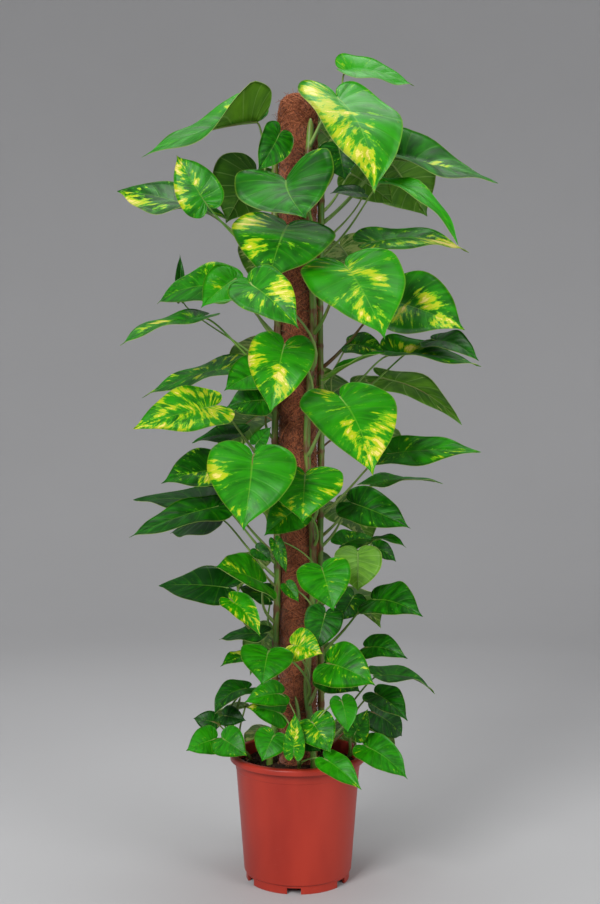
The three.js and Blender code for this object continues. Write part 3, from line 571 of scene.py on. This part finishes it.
def leaf_pattern(shader):
    """How pale the marbling and how dark the green is at each place of a blade, its flecks and its veins."""
    across, along, seed = shader.attribute("mark").split()
    depth, marbling, patch = shader.attribute("look").split()
    other_seed = seed + 3.7
    clump = shader.join(across * 2.0, along * 4.5, seed).noise(1.0, 1.0)
    streak = shader.join(across * 1.7, along * 24.0, seed).noise(1.0, 4.0, 0.66)
    shade = shader.join(across * 1.3, along * 15.0, other_seed).noise(1.0, 2.0, 0.6)
    fleck = shader.join(across * 6.0, along * 55.0, other_seed).noise(1.0, 2.0, 0.6)
    pale = streak * 0.86 + clump * 0.4 + marbling * 0.44 + patch * 0.2
    dark = depth + (shade + -0.5) * 1.6
    reach = across.math("ABSOLUTE")
    rib = reach.rise(0.035, 0.012)
    veins = (along * SIDE_VEINS).math("PINGPONG", 0.5).rise(0.07, 0.0)
    edge = reach.rise(0.965, 0.99)
    return pale, dark, fleck, rib, veins, edge


def make_leaf_upper():
    shader = Shader("leaf_upper", Specular_IOR_Level=0.2, Coat_Weight=0.03, Coat_Roughness=0.3)
    pale, dark, fleck, rib, veins, edge = leaf_pattern(shader)
    color = dark.rise(*DEPTH_RANGE).mix(rgb(38, 144, 0), rgb(3, 60, 0))
    light_flecks = fleck.rise(0.6, 0.66) * pale.rise(0.7, 0.86)
    color = (light_flecks * 0.75).mix(color, rgb(96, 168, 16))
    for start, full, tint in MARBLING:
        color = pale.rise(start, full).mix(color, rgb(*tint))
    color = (veins * 0.12).mix(color, rgb(96, 168, 24))
    color = (rib * 0.3).mix(color, rgb(124, 180, 44))
    color = (edge * 0.3).mix(color, rgb(140, 164, 50))
    relief = veins * -0.5 + rib * -0.8 + fleck * 0.35
    return shader.finish(color, fleck.between(0.34, 0.5), relief, LEAF_RELIEF, 0.6)


def make_leaf_under():
    shader = Shader("leaf_under", Specular_IOR_Level=0.3)
    pale, dark, fleck, rib, veins, edge = leaf_pattern(shader)
    color = dark.rise(*DEPTH_RANGE).mix(rgb(100, 156, 30), rgb(50, 100, 14))
    color = (pale.rise(0.84, 0.9) * 0.7).mix(color, rgb(186, 204, 110))
    color = (veins * 0.35).mix(color, rgb(150, 190, 96))
    color = (rib * 0.7).mix(color, rgb(176, 206, 120))
    color = (edge * 0.5).mix(color, rgb(180, 200, 110))
    return shader.finish(color, fleck.between(0.42, 0.6), veins * 0.6 + fleck * 0.3, LEAF_RELIEF, 0.6)


def make_stem_skin():
    """Pale green rind with fine lengthwise lines, browner where the look says so."""
    shader = Shader("stem_skin", Specular_IOR_Level=0.45)
    grain = shader.attribute("mark")
    brown, pale, _ = shader.attribute("look").split()
    lines = grain.stretch(5.0, 5.0, 0.7).noise()
    cloud = grain.noise(0.8)
    color = cloud.rise(0.3, 0.7).mix(rgb(64, 118, 22), rgb(122, 162, 58))
    color = (lines.rise(0.45, 0.7) * 0.45).mix(color, rgb(58, 116, 26))
    color = pale.mix(color, rgb(196, 212, 140))
    color = (cloud + brown * 0.75).rise(0.62, 0.95).mix(color, rgb(104, 72, 38))
    return shader.finish(color, lines.between(0.34, 0.6), lines, 0.0005, 0.5)


def make_root_skin():
    shader = Shader("root_skin", Specular_IOR_Level=0.3)
    tint = shader.attribute("look").split()[0]
    lines = shader.attribute("mark").stretch(4.0, 4.0, 1.5).noise(1.0, 3.0)
    color = tint.mix(lines.mix(rgb(58, 36, 22), rgb(120, 84, 52)), rgb(190, 180, 140))
    return shader.finish(color, lines.between(0.6, 0.85), lines, 0.0004, 0.6)


def make_coir_mat():
    """Matted coconut fibre: short crossing strands, with dark mottled patches that are partly damp fibre and
    partly painted shade.
    """
    shader = Shader("coir_mat", Specular_IOR_Level=0.2, Sheen_Weight=0.2, Sheen_Roughness=0.6)
    place = shader.place()
    strands = place.stretch(620.0, 620.0, 200.0).noise(1.0, 3.0, 0.62)
    wisps = place.stretch(240.0, 240.0, 700.0).noise(1.0, 2.0, 0.6)
    cloud = place.noise(34.0, 3.0, 0.6)
    color = strands.rise(0.34, 0.66).mix(rgb(66, 28, 14), rgb(164, 90, 54))
    color = (wisps.rise(0.5, 0.72) * 0.6).mix(color, rgb(190, 116, 80))
    # Painted shade: dark mottled patches at random places over the mat stand in for the leaves' shade as well
    # as for damp fibre.
    color = (cloud.rise(0.5, 0.75) * 0.55).mix(color, rgb(58, 28, 16))
    return shader.finish(color, strands.between(0.75, 0.98), strands + wisps, 0.0016, 0.9)


def make_coir_strand():
    shader = Shader("coir_strand", Specular_IOR_Level=0.3)
    tint = shader.attribute("look").split()[0]
    cloud = shader.attribute("mark").noise(2.0)
    color = tint.rise(0.0, 1.0).mix(rgb(96, 44, 24), rgb(216, 134, 88))
    color = (cloud * 0.5).mix(color, rgb(116, 58, 34))
    return shader.finish(color, cloud.between(0.6, 0.9))


def make_pot_plastic():
    """Moulded red-brown plastic: faint flow clouds, fine scuffs and a matt grain."""
    shader = Shader("pot_plastic", Specular_IOR_Level=0.4)
    place = shader.place()
    clouds = place.stretch(9.0, 9.0, 3.0).noise(1.0, 3.0, 0.6)
    scuffs = place.stretch(60.0, 60.0, 700.0).noise(1.0, 2.0, 0.7)
    grain = place.noise(900.0)
    color = clouds.rise(0.3, 0.7).mix(rgb(156, 40, 26), rgb(178, 52, 34))
    color = (scuffs.rise(0.66, 0.8) * 0.16).mix(color, rgb(206, 120, 100))
    roughness = (clouds + scuffs * 0.4).between(0.3, 0.46)
    return shader.finish(color, roughness, grain + scuffs * 0.5, 0.00012, 0.5)


def make_peat():
    shader = Shader("peat", Specular_IOR_Level=0.2)
    lumps = shader.place().noise(170.0, 4.0, 0.65)
    tint = shader.attribute("look").split()[0]
    color = lumps.rise(0.35, 0.7).mix(rgb(28, 19, 14), rgb(70, 48, 34))
    color = (tint * 0.8).mix(color, rgb(112, 78, 50))
    return shader.finish(color, lumps.between(0.8, 1.0), lumps, 0.003, 0.8)


def make_core_plastic():
    shader = Shader("core_plastic", Specular_IOR_Level=0.4)
    lines = shader.place().stretch(400.0, 400.0, 8.0).noise()
    color = lines.mix(rgb(46, 46, 46), rgb(74, 72, 70))
    return shader.finish(color, lines.between(0.45, 0.65), lines, 0.0002, 0.5)


def make_floor_paint():
    shader = Shader("floor_paint", Specular_IOR_Level=0.2)
    color = shader.place().noise(1.5).mix(rgb(184, 184, 185), rgb(189, 189, 190))
    return shader.finish(color, 0.8)


# ---- leaves ----
def blade_axes(junction, tip, facing):
    along = tip - junction
    length = np.linalg.norm(along)
    along = along / length
    up = np.array(facing, float)
    up = unit(up - along * up.dot(along))
    return along, up, np.cross(along, up), length


def side_rise(a, b, length, half_width, fold, cup):
    """Rise over the midrib: waves, fold and raised lobes."""
    side = np.abs(b)
    wave = length * BLADE_WAVE * np.sin(BLADE_WAVE_RATE * a + half_width) * side * side
    folding = fold + cup * (1 - np.maximum(a, 0)) ** CUP_FADE
    return wave + half_width * folding * (side - FOLD_EASING * side * side)


def blade_points(row, a, b, lift):
    """Points of a blade at shares along and across it, lifted out of its upper face."""
    arch, fold, sweep, twist, cup = (*row[4], 0, 0, 0)[:5]
    half_width = row[2] / 2
    junction = placed(row[0])
    along, up, across, length = blade_axes(junction, placed(row[1]), row[3])
    bow = np.where(a > 0, 4 * a * (1 - a), 2 * a) * length
    turn = radians(twist) * a
    across_here = np.outer(np.cos(turn), across) + np.outer(np.sin(turn), up)
    up_here = np.outer(np.cos(turn), up) - np.outer(np.sin(turn), across)
    rise = side_rise(a, b, length, half_width, fold, cup) + lift
    midrib = junction + np.outer(a * length, along) + np.outer(sweep * bow, across) + np.outer(arch * bow, up)
    return midrib + across_here * (b * half_width)[:, None] + up_here * rise[:, None]


def add_blade(pile, row, seed):
    """One closed blade: a grid whose rows follow the side veins, doubled to a thin body."""
    rows, columns = BLADE_GRID if row[2] >= SMALL_LEAF else SMALL_GRID
    length = np.linalg.norm(placed(row[1]) - placed(row[0]))
    path = smooth_path(MARGIN, rows + 1)
    t = np.linspace(0, 1, rows + 1)
    rib = RIB_LEAD * t + (1 - RIB_LEAD) * t ** 2.8
    # Places along and across the blade, then the share across its own row, and its row's share.
    spots = [(rib[i], 0, 0, t[i]) for i in range(rows + 1)]
    for side in (1, -1):
        for i in range(1, rows):
            for share in np.arange(1, columns + 1) / columns:
                sweep = 0.1 * t[i] * share * (1 - share)
                along = rib[i] + (path[i][0] - rib[i]) * share - sweep
                spots.append((along, side * path[i][1] * share, side * share, t[i]))
    a, b, s, v = np.array(spots).T
    reach = np.abs(s)
    relief = PILLOW * length * np.abs(np.sin(pi * SIDE_VEINS * v)) * np.sin(pi * reach) ** 0.6
    relief = relief + FRILL * length * reach ** 3 * np.sin(15 * v + 2.1 * seed + 1.5 * np.sign(s))
    relief = relief + GROOVE * length * np.exp(-((reach / 0.08) ** 2)) * (1 - v)
    depth, marbling = row[5], row[6]
    pale = np.zeros(len(a))
    for place_a, place_b, radius, strength in row[7:]:
        far = np.hypot(a - place_a, (b - place_b) * 0.55) / radius
        pale = np.maximum(pale, strength * np.clip(1.3 - far, 0, 1))
    looks = np.column_stack([np.full(len(a), depth), np.full(len(a), marbling), pale])
    marks = np.column_stack([s, v, np.full(len(a), 7.3 * seed)])
    faces = blade_faces(rows, columns)
    edge = blade_edge(rows, columns)
    top = blade_points(row, a, b, relief + BLADE_THICKNESS / 2)
    low = blade_points(row, a, b, relief - BLADE_THICKNESS / 2)
    size = len(a)
    under = [tuple(corner + size for corner in face)[::-1] for face in faces]
    strip = [(edge[i], edge[i - 1], edge[i - 1] + size, edge[i] + size) for i in range(len(edge))]
    kinds = [0] * len(faces) + [1] * len(under) + [1] * len(strip)
    flats = [False] * (2 * len(faces)) + [True] * len(strip)
    pile.add(
        np.concatenate([top, low]), faces + under + strip, np.tile(marks, (2, 1)), np.tile(looks, (2, 1)),
        kinds, flats,
    )


def blade_index(rows, columns, half, i, k):
    """The number of a grid point: row i from the notch to the tip, column k from the midrib outwards."""
    if k == 0 or i in (0, rows):
        return i
    return rows + 1 + half * (rows - 1) * columns + (i - 1) * columns + k - 1


def blade_faces(rows, columns):
    faces = []
    for half in (0, 1):
        for i in range(rows):
            for k in range(columns):
                places = ((i, k), (i + 1, k), (i + 1, k + 1), (i, k + 1))
                face = list(dict.fromkeys(blade_index(rows, columns, half, *place) for place in places))
                faces.append(tuple(face if half == 1 else face[::-1]))
    return [face for face in faces if len(face) > 2]


def blade_edge(rows, columns):
    """The margin's points, all the way round."""
    one = [blade_index(rows, columns, 0, i, columns) for i in range(rows + 1)]
    other = [blade_index(rows, columns, 1, i, columns) for i in range(rows - 1, 0, -1)]
    return (one + other)[::-1]


def add_petiole(pile, row, stem, lowest, highest, seed):
    """The leaf stalk from the stem's axis to the blade, and on as the rib under the blade."""
    junction, tip = placed(row[0]), placed(row[1])
    along, _, _, length = blade_axes(junction, tip, row[3])
    wanted = junction[2] - PETIOLE_SLOPE * hypot(junction[0], junction[1]) - PETIOLE_DROP
    root = point_at_height(stem, min(max(wanted, lowest), highest))
    reach = np.linalg.norm(junction - root)
    outward = unit(np.array([root[0], root[1], 0]))
    out, up = PETIOLE_LEAVE
    leaving = root + outward * out * reach + np.array([0, 0, up * reach])
    back, up = PETIOLE_ARRIVE
    arriving = junction - along * back * reach + np.array([0, 0, up * reach])
    shares = np.linspace(PETIOLE_SEAT / length, RIB_END, RIB_STEPS)
    rib = blade_points(row, shares, np.zeros(RIB_STEPS), GROOVE * length * (1 - shares) - 0.5)
    stalk = bezier([root, leaving, arriving, rib[0]], STALK_STEPS)
    size = min(1.0, 0.6 + row[2] / 320)
    sheath = np.interp(np.linspace(0, 1, STALK_STEPS), SHEATH_SHARES, SHEATH_WIDTHS)
    taper = np.linspace(*RIB_TAPER, RIB_STEPS)
    radii = PETIOLE_RADIUS * size * np.concatenate([sheath, taper[1:]])
    browning = random.random() ** 4
    looks = (0.1 + 0.5 * browning, 0.3 * random.random(), 0)
    pile.add_tube(np.concatenate([stalk, rib[1:]]), radii, PETIOLE_SIDES, seed, looks)


def add_stem(pile, path, radius, sides, seed):
    """A stem with a slight knot every few centimetres, whose places it returns."""
    lengths = lengths_along(path)
    knots = np.cumsum([random.uniform(*KNOT_SPACING) for _ in range(40)])
    knots = knots[knots < lengths[-1] - KNOT_TIP_MARGIN]
    swell = np.ones(len(path))
    brown = np.zeros(len(path))
    for knot in knots:
        near = np.exp(-(((lengths - knot) / KNOT_SIZE) ** 2))
        swell += KNOT_SWELL * near
        brown = np.maximum(brown, near)
    swell[-3:] *= [0.85, 0.6, 0.25]
    looks = np.column_stack([0.3 + 0.35 * brown, np.full(len(path), 0.05), np.zeros(len(path))])
    pile.add_tube(path, radius * swell, sides, seed, np.repeat(looks, sides, axis=0))
    return [point_at_height(path, np.interp(knot, lengths, path[:, 2])) for knot in knots]


def add_clinging_roots(pile, knot, seed):
    """Short brown roots from a knot of the stem round and onto the pole."""
    turn = atan2(knot[0], -knot[1])
    shares = np.linspace(0, 1, 7)
    gap = STEM_CLIMB_RADIUS - COIR_RADIUS - ROOT_END_RADIUS
    radii = STEM_CLIMB_RADIUS - gap * np.minimum(shares * 2, 1)
    for way in (-1, 1):
        reach = random.uniform(0.35, 0.8)
        drop = random.uniform(-4, 14)
        angles = turn + way * reach * shares
        heights = knot[2] - drop * shares ** 2
        path = np.column_stack([radii * np.sin(angles), -radii * np.cos(angles), heights])
        pile.add_tube(path, np.linspace(ROOT_TOP_RADIUS, ROOT_END_RADIUS, 7), 5, seed, (0.1, 0, 0), 1)


def make_leafy_stem(name, path, radius, sides, rows, lowest, highest, clings):
    leaves, stems = Pile(), Pile()
    start = sum(ord(letter) for letter in name)
    random.seed(start)
    knots = add_stem(stems, path, radius, sides, start % 7)
    if clings:
        for i, knot in enumerate(knots):
            if knot[2] > ROOTS_FROM:
                add_clinging_roots(stems, knot, i)
    for i, row in enumerate(rows):
        seed = start % 13 + i
        add_blade(leaves, row, seed)
        add_petiole(stems, row, path, lowest, highest, seed)
    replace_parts(leaves.build(name + "_leaves", [LEAF_UPPER, LEAF_UNDER], "foliage"), name)
    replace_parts(stems.build(name + "_stalks", [STEM_SKIN, ROOT_SKIN], "foliage"), name)


def make_vine(name, turn, top, rows):
    low, high = STEM_LEAN_HEIGHTS
    points = [
        around(STEM_PLANT_RADIUS, turn, STEM_FOOT),
        around(STEM_PLANT_RADIUS, turn, low),
        around(STEM_LEAN_RADIUS, turn, high),
    ]
    for z in range(STEM_CLIMB_FROM, top, STEM_CLIMB_STEP):
        sway = STEM_SWAY * sin(z / STEM_SWAY_HEIGHT)
        points.append(around(STEM_CLIMB_RADIUS, turn + sway, z))
    points.append(around(STEM_CLIMB_RADIUS, turn, top))
    lowest, highest = SOIL_CROWN + STEM_BARE[0], top - STEM_BARE[1]
    make_leafy_stem(name, smooth_path(points, 220), STEM_RADIUS, STEM_SIDES, rows, lowest, highest, True)


def make_shoot(name, points, rows):
    lowest, highest = SOIL_CROWN + SHOOT_BARE[0], points[-1][2] - SHOOT_BARE[1]
    make_leafy_stem(name, smooth_path(points, 40), SHOOT_RADIUS, SHOOT_SIDES, rows, lowest, highest, False)


# ---- pole ----
def coir_place(turn, height, lift):
    """A place on the coir: up its side, then over its domed top."""
    bend = np.clip((height - COIR_SHOULDER) / DOME_RUN, 0, 1) * pi / 2
    radius = COIR_RADIUS * np.cos(bend) ** 0.75 + lift * np.cos(bend)
    z = np.minimum(height, COIR_SHOULDER) + (COIR_DOME * np.sin(bend) ** 0.95 + lift * np.sin(bend))
    return np.stack([radius * np.sin(turn), -radius * np.cos(turn), z], axis=-1)


def make_coir():
    """The wound mat: a lumpy surface, higher where its turns overlap."""
    sides, step, dense_from = 72, 5.0, 1340
    side = np.arange(COIR_BOTTOM, dense_from, step)
    heights = np.concatenate([side, np.linspace(dense_from, COIR_END - 1.5, 22)])
    points = []
    for height in heights:
        for k in range(sides):
            turn = 2 * pi * k / sides
            spot = Vector((cos(turn) * 3.2, sin(turn) * 3.2, height / 10))
            lift = COIR_LUMPS * noise.fractal(spot, 1.0, 2.0, 4) + COIR_WINDING * sin(turn + height / 13)
            points.append(coir_place(np.array(turn), np.array(height), lift))
    pile = Pile()
    pile.add(points, ring_faces(len(heights), sides))
    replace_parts(pile.build("coir_mat", [make_coir_mat()], "coir"), "coir_sleeve")


def make_coir_strands():
    """Strands lying in the mat, and some loose ends that stand off it."""
    random.seed(31)
    pile = Pile()
    for i in range(STRAND_COUNT):
        height = random.uniform(SOIL_EDGE - 8, COIR_END)
        if random.random() < TOP_SHARE:
            height = random.uniform(COIR_TOP - TOP_BAND, COIR_END)
        slope = random.choice((-1, 1)) * random.uniform(0.15, 1.3)
        length = random.uniform(*STRAND_LENGTH)
        turn = random.uniform(0, 2 * pi)
        shares = np.linspace(-0.5, 0.5, 7)
        wobble = random.uniform(-0.12, 0.12) * np.sin(7 * shares + turn)
        angles = turn + length * cos(atan(slope)) * shares / COIR_RADIUS + wobble
        climbs = height + length * sin(atan(slope)) * shares
        lifts = random.uniform(*STRAND_LIFT) + 1.3 * np.sin(9 * shares + height)
        if random.random() < LOOSE_SHARE:
            lifts = lifts + random.uniform(*LOOSE_RISE) * (shares + 0.5) ** 3
        path = coir_place(angles, np.clip(climbs, SOIL_EDGE - 10, COIR_END - 0.5), lifts)
        radius = random.uniform(*STRAND_RADIUS)
        pile.add_tube(path, [radius] * 6 + [radius * 0.4], 3, i, (random.random(), 0, 0))
    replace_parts(pile.build("coir_strands", [make_coir_strand()], "coir"), "coir_sleeve")


# ---- pot and soil ----
def rounded(corners):
    """An outline in which each corner given with a radius becomes an arc."""
    outline = []
    for i, corner in enumerate(corners):
        place = np.array(corner[:2], float)
        radius = corner[2] if len(corner) > 2 else 0
        if radius == 0:
            outline.append(place)
            continue
        before = unit(np.array(corners[i - 1][:2], float) - place)
        after = unit(np.array(corners[i + 1][:2], float) - place)
        half = acos(max(-1.0, min(1.0, before.dot(after)))) / 2
        back = radius / tan(half)
        centre = place + unit(before + after) * radius / sin(half)
        start, end = place + before * back - centre, place + after * back - centre
        for share in np.linspace(0, 1, 6):
            outline.append(centre + radius * unit(start * (1 - share) + end * share))
    return outline


def turned(name, outline, sides):
    """A mesh of revolution about +Z, closed to one point where the outline meets the axis."""
    mesh = bpy.data.meshes.new(name)
    work = bmesh.new()
    rings = []
    for radius, z in outline:
        if radius < 1e-6:
            rings.append([work.verts.new((0, 0, z * MM))] * sides)
            continue
        angles = [2 * pi * k / sides for k in range(sides)]
        rings.append([work.verts.new((radius * sin(t) * MM, -radius * cos(t) * MM, z * MM))
                      for t in angles])
    for low, high in zip(rings, rings[1:]):
        for k in range(sides):
            after = (k + 1) % sides
            face = list(dict.fromkeys([low[k], low[after], high[after], high[k]]))
            if len(face) > 2:
                work.faces.new(face)
    bmesh.ops.recalc_face_normals(work, faces=work.faces)
    work.to_mesh(mesh)
    work.free()
    return mesh


def smooth_shade(mesh, sharp_angle=35):
    """Smooth shading, with the edges sharper than an angle kept crisp."""
    work = bmesh.new()
    work.from_mesh(mesh)
    for face in work.faces:
        face.smooth = True
    for edge in work.edges:
        edge.smooth = edge.calc_face_angle(0) < radians(sharp_angle)
    work.to_mesh(mesh)
    work.free()


def cut_by(piece, cutters):
    """Cuts the solids out of the piece and removes them."""
    for cutter in cutters:
        cut = piece.modifiers.new("cut", "BOOLEAN")
        cut.operation = "DIFFERENCE"
        cut.solver = "EXACT"
        cut.object = cutter
    bpy.context.view_layer.update()
    shown = piece.evaluated_get(bpy.context.evaluated_depsgraph_get())
    mesh = bpy.data.meshes.new_from_object(shown)
    piece.modifiers.clear()
    piece.data = mesh
    for cutter in cutters:
        bpy.data.objects.remove(cutter)


def notch_cutter(turn):
    """A block the width of a foot notch, with its edges rounded a little."""
    bpy.ops.mesh.primitive_cube_add(size=1)
    block = bpy.context.object
    height = 2 * (FLOOR_LOW - NOTCH_ROUNDING)
    block.dimensions = (NOTCH_WIDTH * MM, CUT_REACH * FOOT_THICKNESS * MM, height * MM)
    block.location = around(FOOT_RADIUS - FOOT_THICKNESS / 2, turn, 0) * MM
    block.rotation_euler[2] = radians(turn)
    soften = block.modifiers.new("soften", "BEVEL")
    soften.width = NOTCH_ROUNDING * MM
    soften.segments = 3
    return block


def drain_cutter(turn):
    bpy.ops.mesh.primitive_cylinder_add(
        vertices=32, radius=DRAIN_RADIUS * MM, depth=CUT_REACH * WALL * MM,
        location=around(DRAIN_CIRCLE, turn, (FLOOR_LOW + FLOOR_TOP) / 2) * MM,
    )
    return bpy.context.object


def pot_inner_radius(z):
    share = (z - FLOOR_TOP) / (POT_HEIGHT - FLOOR_TOP)
    return WALL_BOTTOM_RADIUS - WALL + (WALL_TOP_RADIUS - WALL_BOTTOM_RADIUS - STEP_DEPTH) * share


def make_pot():
    """The turned shell, whose outline's third numbers are its rounding radii, cut by notches and drains."""
    lip_low = POT_HEIGHT - LIP_HEIGHT
    step = POT_HEIGHT - STEP_BELOW_RIM
    outline = rounded([
        (0, FLOOR_LOW),
        (FOOT_RADIUS - FOOT_THICKNESS, FLOOR_LOW),
        (FOOT_RADIUS - FOOT_THICKNESS, 0, 0.6),
        (FOOT_RADIUS, 0, 0.8),
        (FOOT_RADIUS, FOOT_HEIGHT, 0.6),
        (WALL_BOTTOM_RADIUS, FOOT_HEIGHT + FOOT_LEDGE, 1.6),
        (WALL_TOP_RADIUS - STEP_DEPTH - WALL_DRAFT, step, 0.8),
        (WALL_TOP_RADIUS - WALL_DRAFT, step + STEP_SLOPE, 0.8),
        (WALL_TOP_RADIUS, POT_HEIGHT - WALL, 1.5),
        (RIM_RADIUS - WALL, POT_HEIGHT - WALL, 1.5),
        (RIM_RADIUS - WALL, lip_low, 0.7),
        (RIM_RADIUS, lip_low, 0.9),
        (RIM_RADIUS, POT_HEIGHT, 4.2),
        (pot_inner_radius(POT_HEIGHT), POT_HEIGHT, 2.4),
        (pot_inner_radius(FLOOR_TOP), FLOOR_TOP, 2),
        (0, FLOOR_TOP),
    ])
    pot = finish_piece("pot_shell", turned("pot_shell", outline, POT_SIDES), [])
    turns = [NOTCH_TURN + 360 / NOTCH_COUNT * i for i in range(NOTCH_COUNT)]
    cut_by(pot, [notch_cutter(turn) for turn in turns] + [drain_cutter(turn) for turn in turns])
    smooth_shade(pot.data)
    pot.data.materials.append(make_pot_plastic())
    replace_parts(pot, "pot")


def soil_height(x, y):
    """Height of the lumpy soil at a place, in millimetres."""
    share = min(1.0, hypot(x, y) / pot_inner_radius(SOIL_EDGE))
    mound = SOIL_CROWN - (SOIL_CROWN - SOIL_EDGE) * share ** 4
    spot = Vector((x / SOIL_LUMP_SPAN, y / SOIL_LUMP_SPAN, 3.0))
    return mound + SOIL_LUMPS * noise.fractal(spot, 1.0, 2.0, 4) - 0.6


def make_soil():
    sides, rings, gap = 120, 34, 0.4
    outer = pot_inner_radius(SOIL_EDGE) - 0.3
    radii = [outer * i / rings for i in range(1, rings + 1)] + [pot_inner_radius(FLOOR_TOP + 1) - 0.5]
    points = [(0, 0, soil_height(0, 0))]
    for i, radius in enumerate(radii):
        for k in range(sides):
            angle = 2 * pi * k / sides
            x, y = radius * cos(angle), radius * sin(angle)
            points.append((x, y, soil_height(x, y) if i < rings else FLOOR_TOP + gap))
    faces = [(0, 1 + k, 1 + (k + 1) % sides) for k in range(sides)]
    for i in range(rings):
        first, second = 1 + i * sides, 1 + (i + 1) * sides
        for k in range(sides):
            after = (k + 1) % sides
            faces.append((first + k, second + k, second + after, first + after))
    faces.append(tuple(1 + rings * sides + k for k in range(sides))[::-1])
    pile = Pile()
    pile.add(points, faces)
    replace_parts(pile.build("soil_bed", [PEAT], "soil"), "soil")


def make_crumbs():
    """Crumbs of peat and bits of bark lying on the soil."""
    random.seed(17)
    work = bmesh.new()
    bmesh.ops.create_icosphere(work, subdivisions=1, radius=1)
    ball = np.array([vertex.co[:] for vertex in work.verts])
    faces = [tuple(vertex.index for vertex in face.verts) for face in work.faces]
    work.free()
    pile = Pile()
    for _ in range(CRUMB_COUNT):
        radius = (pot_inner_radius(SOIL_EDGE) - 4) * sqrt(random.random())
        angle = random.uniform(0, 2 * pi)
        if radius < COIR_RADIUS:
            continue
        x, y = radius * cos(angle), radius * sin(angle)
        size = random.uniform(*(CRUMB_SIZE if random.random() < 0.85 else LUMP_SIZE))
        stretch = np.array([random.uniform(0.6, 1.5), random.uniform(0.5, 1), random.uniform(0.35, 0.8)])
        twist = random.uniform(0, pi)
        cosine, sine = cos(twist), sin(twist)
        turn = np.array([[cosine, -sine, 0], [sine, cosine, 0], [0, 0, 1]])
        rough = np.array([[1 + random.uniform(-0.25, 0.25)] for _ in ball])
        points = (ball * rough * stretch * size) @ turn.T + np.array([x, y, soil_height(x, y) + 0.2 * size])
        pile.add(points, faces, (0, 0, 0), (random.random() ** 3, 0, 0), None, [True] * len(faces))
    pile.build("soil_crumbs", [PEAT], "soil")


def make_surface_roots():
    """Pale young roots and runners over the soil at the front."""
    random.seed(5)
    pile = Pile()
    starts = [(2, -80), (-14, -78), (20, -82), (-30, -74), (40, -70), (-84, 6), (84, -20), (4, 82)]
    for i, (x, y) in enumerate(starts):
        for _ in range(2):
            angle = atan2(y, x) + random.uniform(-1.2, 1.2)
            length = random.uniform(14, 24)
            shares = np.linspace(0, 1, 10)
            xs = x + length * shares * cos(angle) + 2 * np.sin(5 * shares + i)
            ys = y + length * shares * sin(angle) + 2 * np.cos(4 * shares + i)
            far = np.hypot(xs, ys)
            keep = np.minimum(1, (pot_inner_radius(SOIL_EDGE) - 3) / far)
            xs, ys = xs * keep, ys * keep
            rises = 1.2 + 3.5 * np.sin(pi * shares)
            zs = [soil_height(*place) + rise for *place, rise in zip(xs, ys, rises)]
            path, radii = np.column_stack([xs, ys, zs]), np.linspace(1.1, 0.5, 10)
            pile.add_tube(path, radii, 6, i, (random.uniform(0.3, 0.9), 0, 0))
    pile.build("surface_roots", [ROOT_SKIN], "foliage")


# ---- stage ----
def make_floor():
    """A round pale floor that curves up into a plain wall all the way round, so that no edge of it shows."""
    flat, sweep, wall = 2600, 2400, 2600
    outline = [(0, 0)]
    outline += [(flat * share, 0) for share in (0.3, 0.6, 1)]
    bends = np.linspace(0, pi / 2, 17)[1:]
    outline += [(flat + sweep * sin(bend), sweep * (1 - cos(bend))) for bend in bends]
    outline.append((flat + sweep, sweep + wall))
    mesh = turned("floor", outline, 96)
    smooth_shade(mesh, 60)
    mesh.materials.append(make_floor_paint())
    add_object("floor", mesh)


def make_light(name, place, aim, size, power):
    data = bpy.data.lights.new(name, "AREA")
    data.shape = "RECTANGLE"
    data.size, data.size_y = size
    data.energy = power
    light = add_object(name, data)
    light.location = place
    light.rotation_euler = (Vector(aim) - Vector(place)).to_track_quat("-Z", "Y").to_euler()


def make_lights():
    make_light("key", (-1.5, -2.6, 2.3), (0, 0, 1.1), (1.3, 1.8), 100)
    make_light("fill", (2.4, -2.2, 1.5), (0, 0, 0.7), (1.4, 1.8), 40)
    make_light("top", (0.1, 0.5, 3.6), (0, 0, 0.6), (1.8, 1.8), 40)
    world = bpy.data.worlds.new("studio")
    world.use_nodes = True
    inputs = world.node_tree.nodes["Background"].inputs
    inputs["Color"].default_value = rgb(220, 220, 222)
    inputs["Strength"].default_value = 0.5
    bpy.context.scene.world = world
    bpy.context.scene.view_settings.view_transform = "Standard"


def make_camera():
    data = bpy.data.cameras.new("camera")
    data.lens = data.sensor_width * EYE_FOCAL / PICTURE_HEIGHT
    camera = add_object("camera", data)
    camera.location = (EYE_X * MM, -EYE_DISTANCE * MM, EYE_HEIGHT * MM)
    camera.rotation_euler = (radians(90 - EYE_PITCH), 0, 0)
    bpy.context.scene.camera = camera


# ---- the whole plant ----
make_camera()
make_floor()
make_lights()
LEAF_UPPER = make_leaf_upper()
LEAF_UNDER = make_leaf_under()
STEM_SKIN = make_stem_skin()
ROOT_SKIN = make_root_skin()
PEAT = make_peat()
make_pot()
make_soil()
make_crumbs()
make_surface_roots()
make_coir()
make_coir_strands()
for name, (turn, top, rows) in STEMS.items():
    make_vine(name, turn, top, rows)
for name, (points, rows) in SHOOTS.items():
    make_shoot(name, points, rows)
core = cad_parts["pole_core"]
core.data.materials.clear()
core.data.materials.append(make_core_plastic())
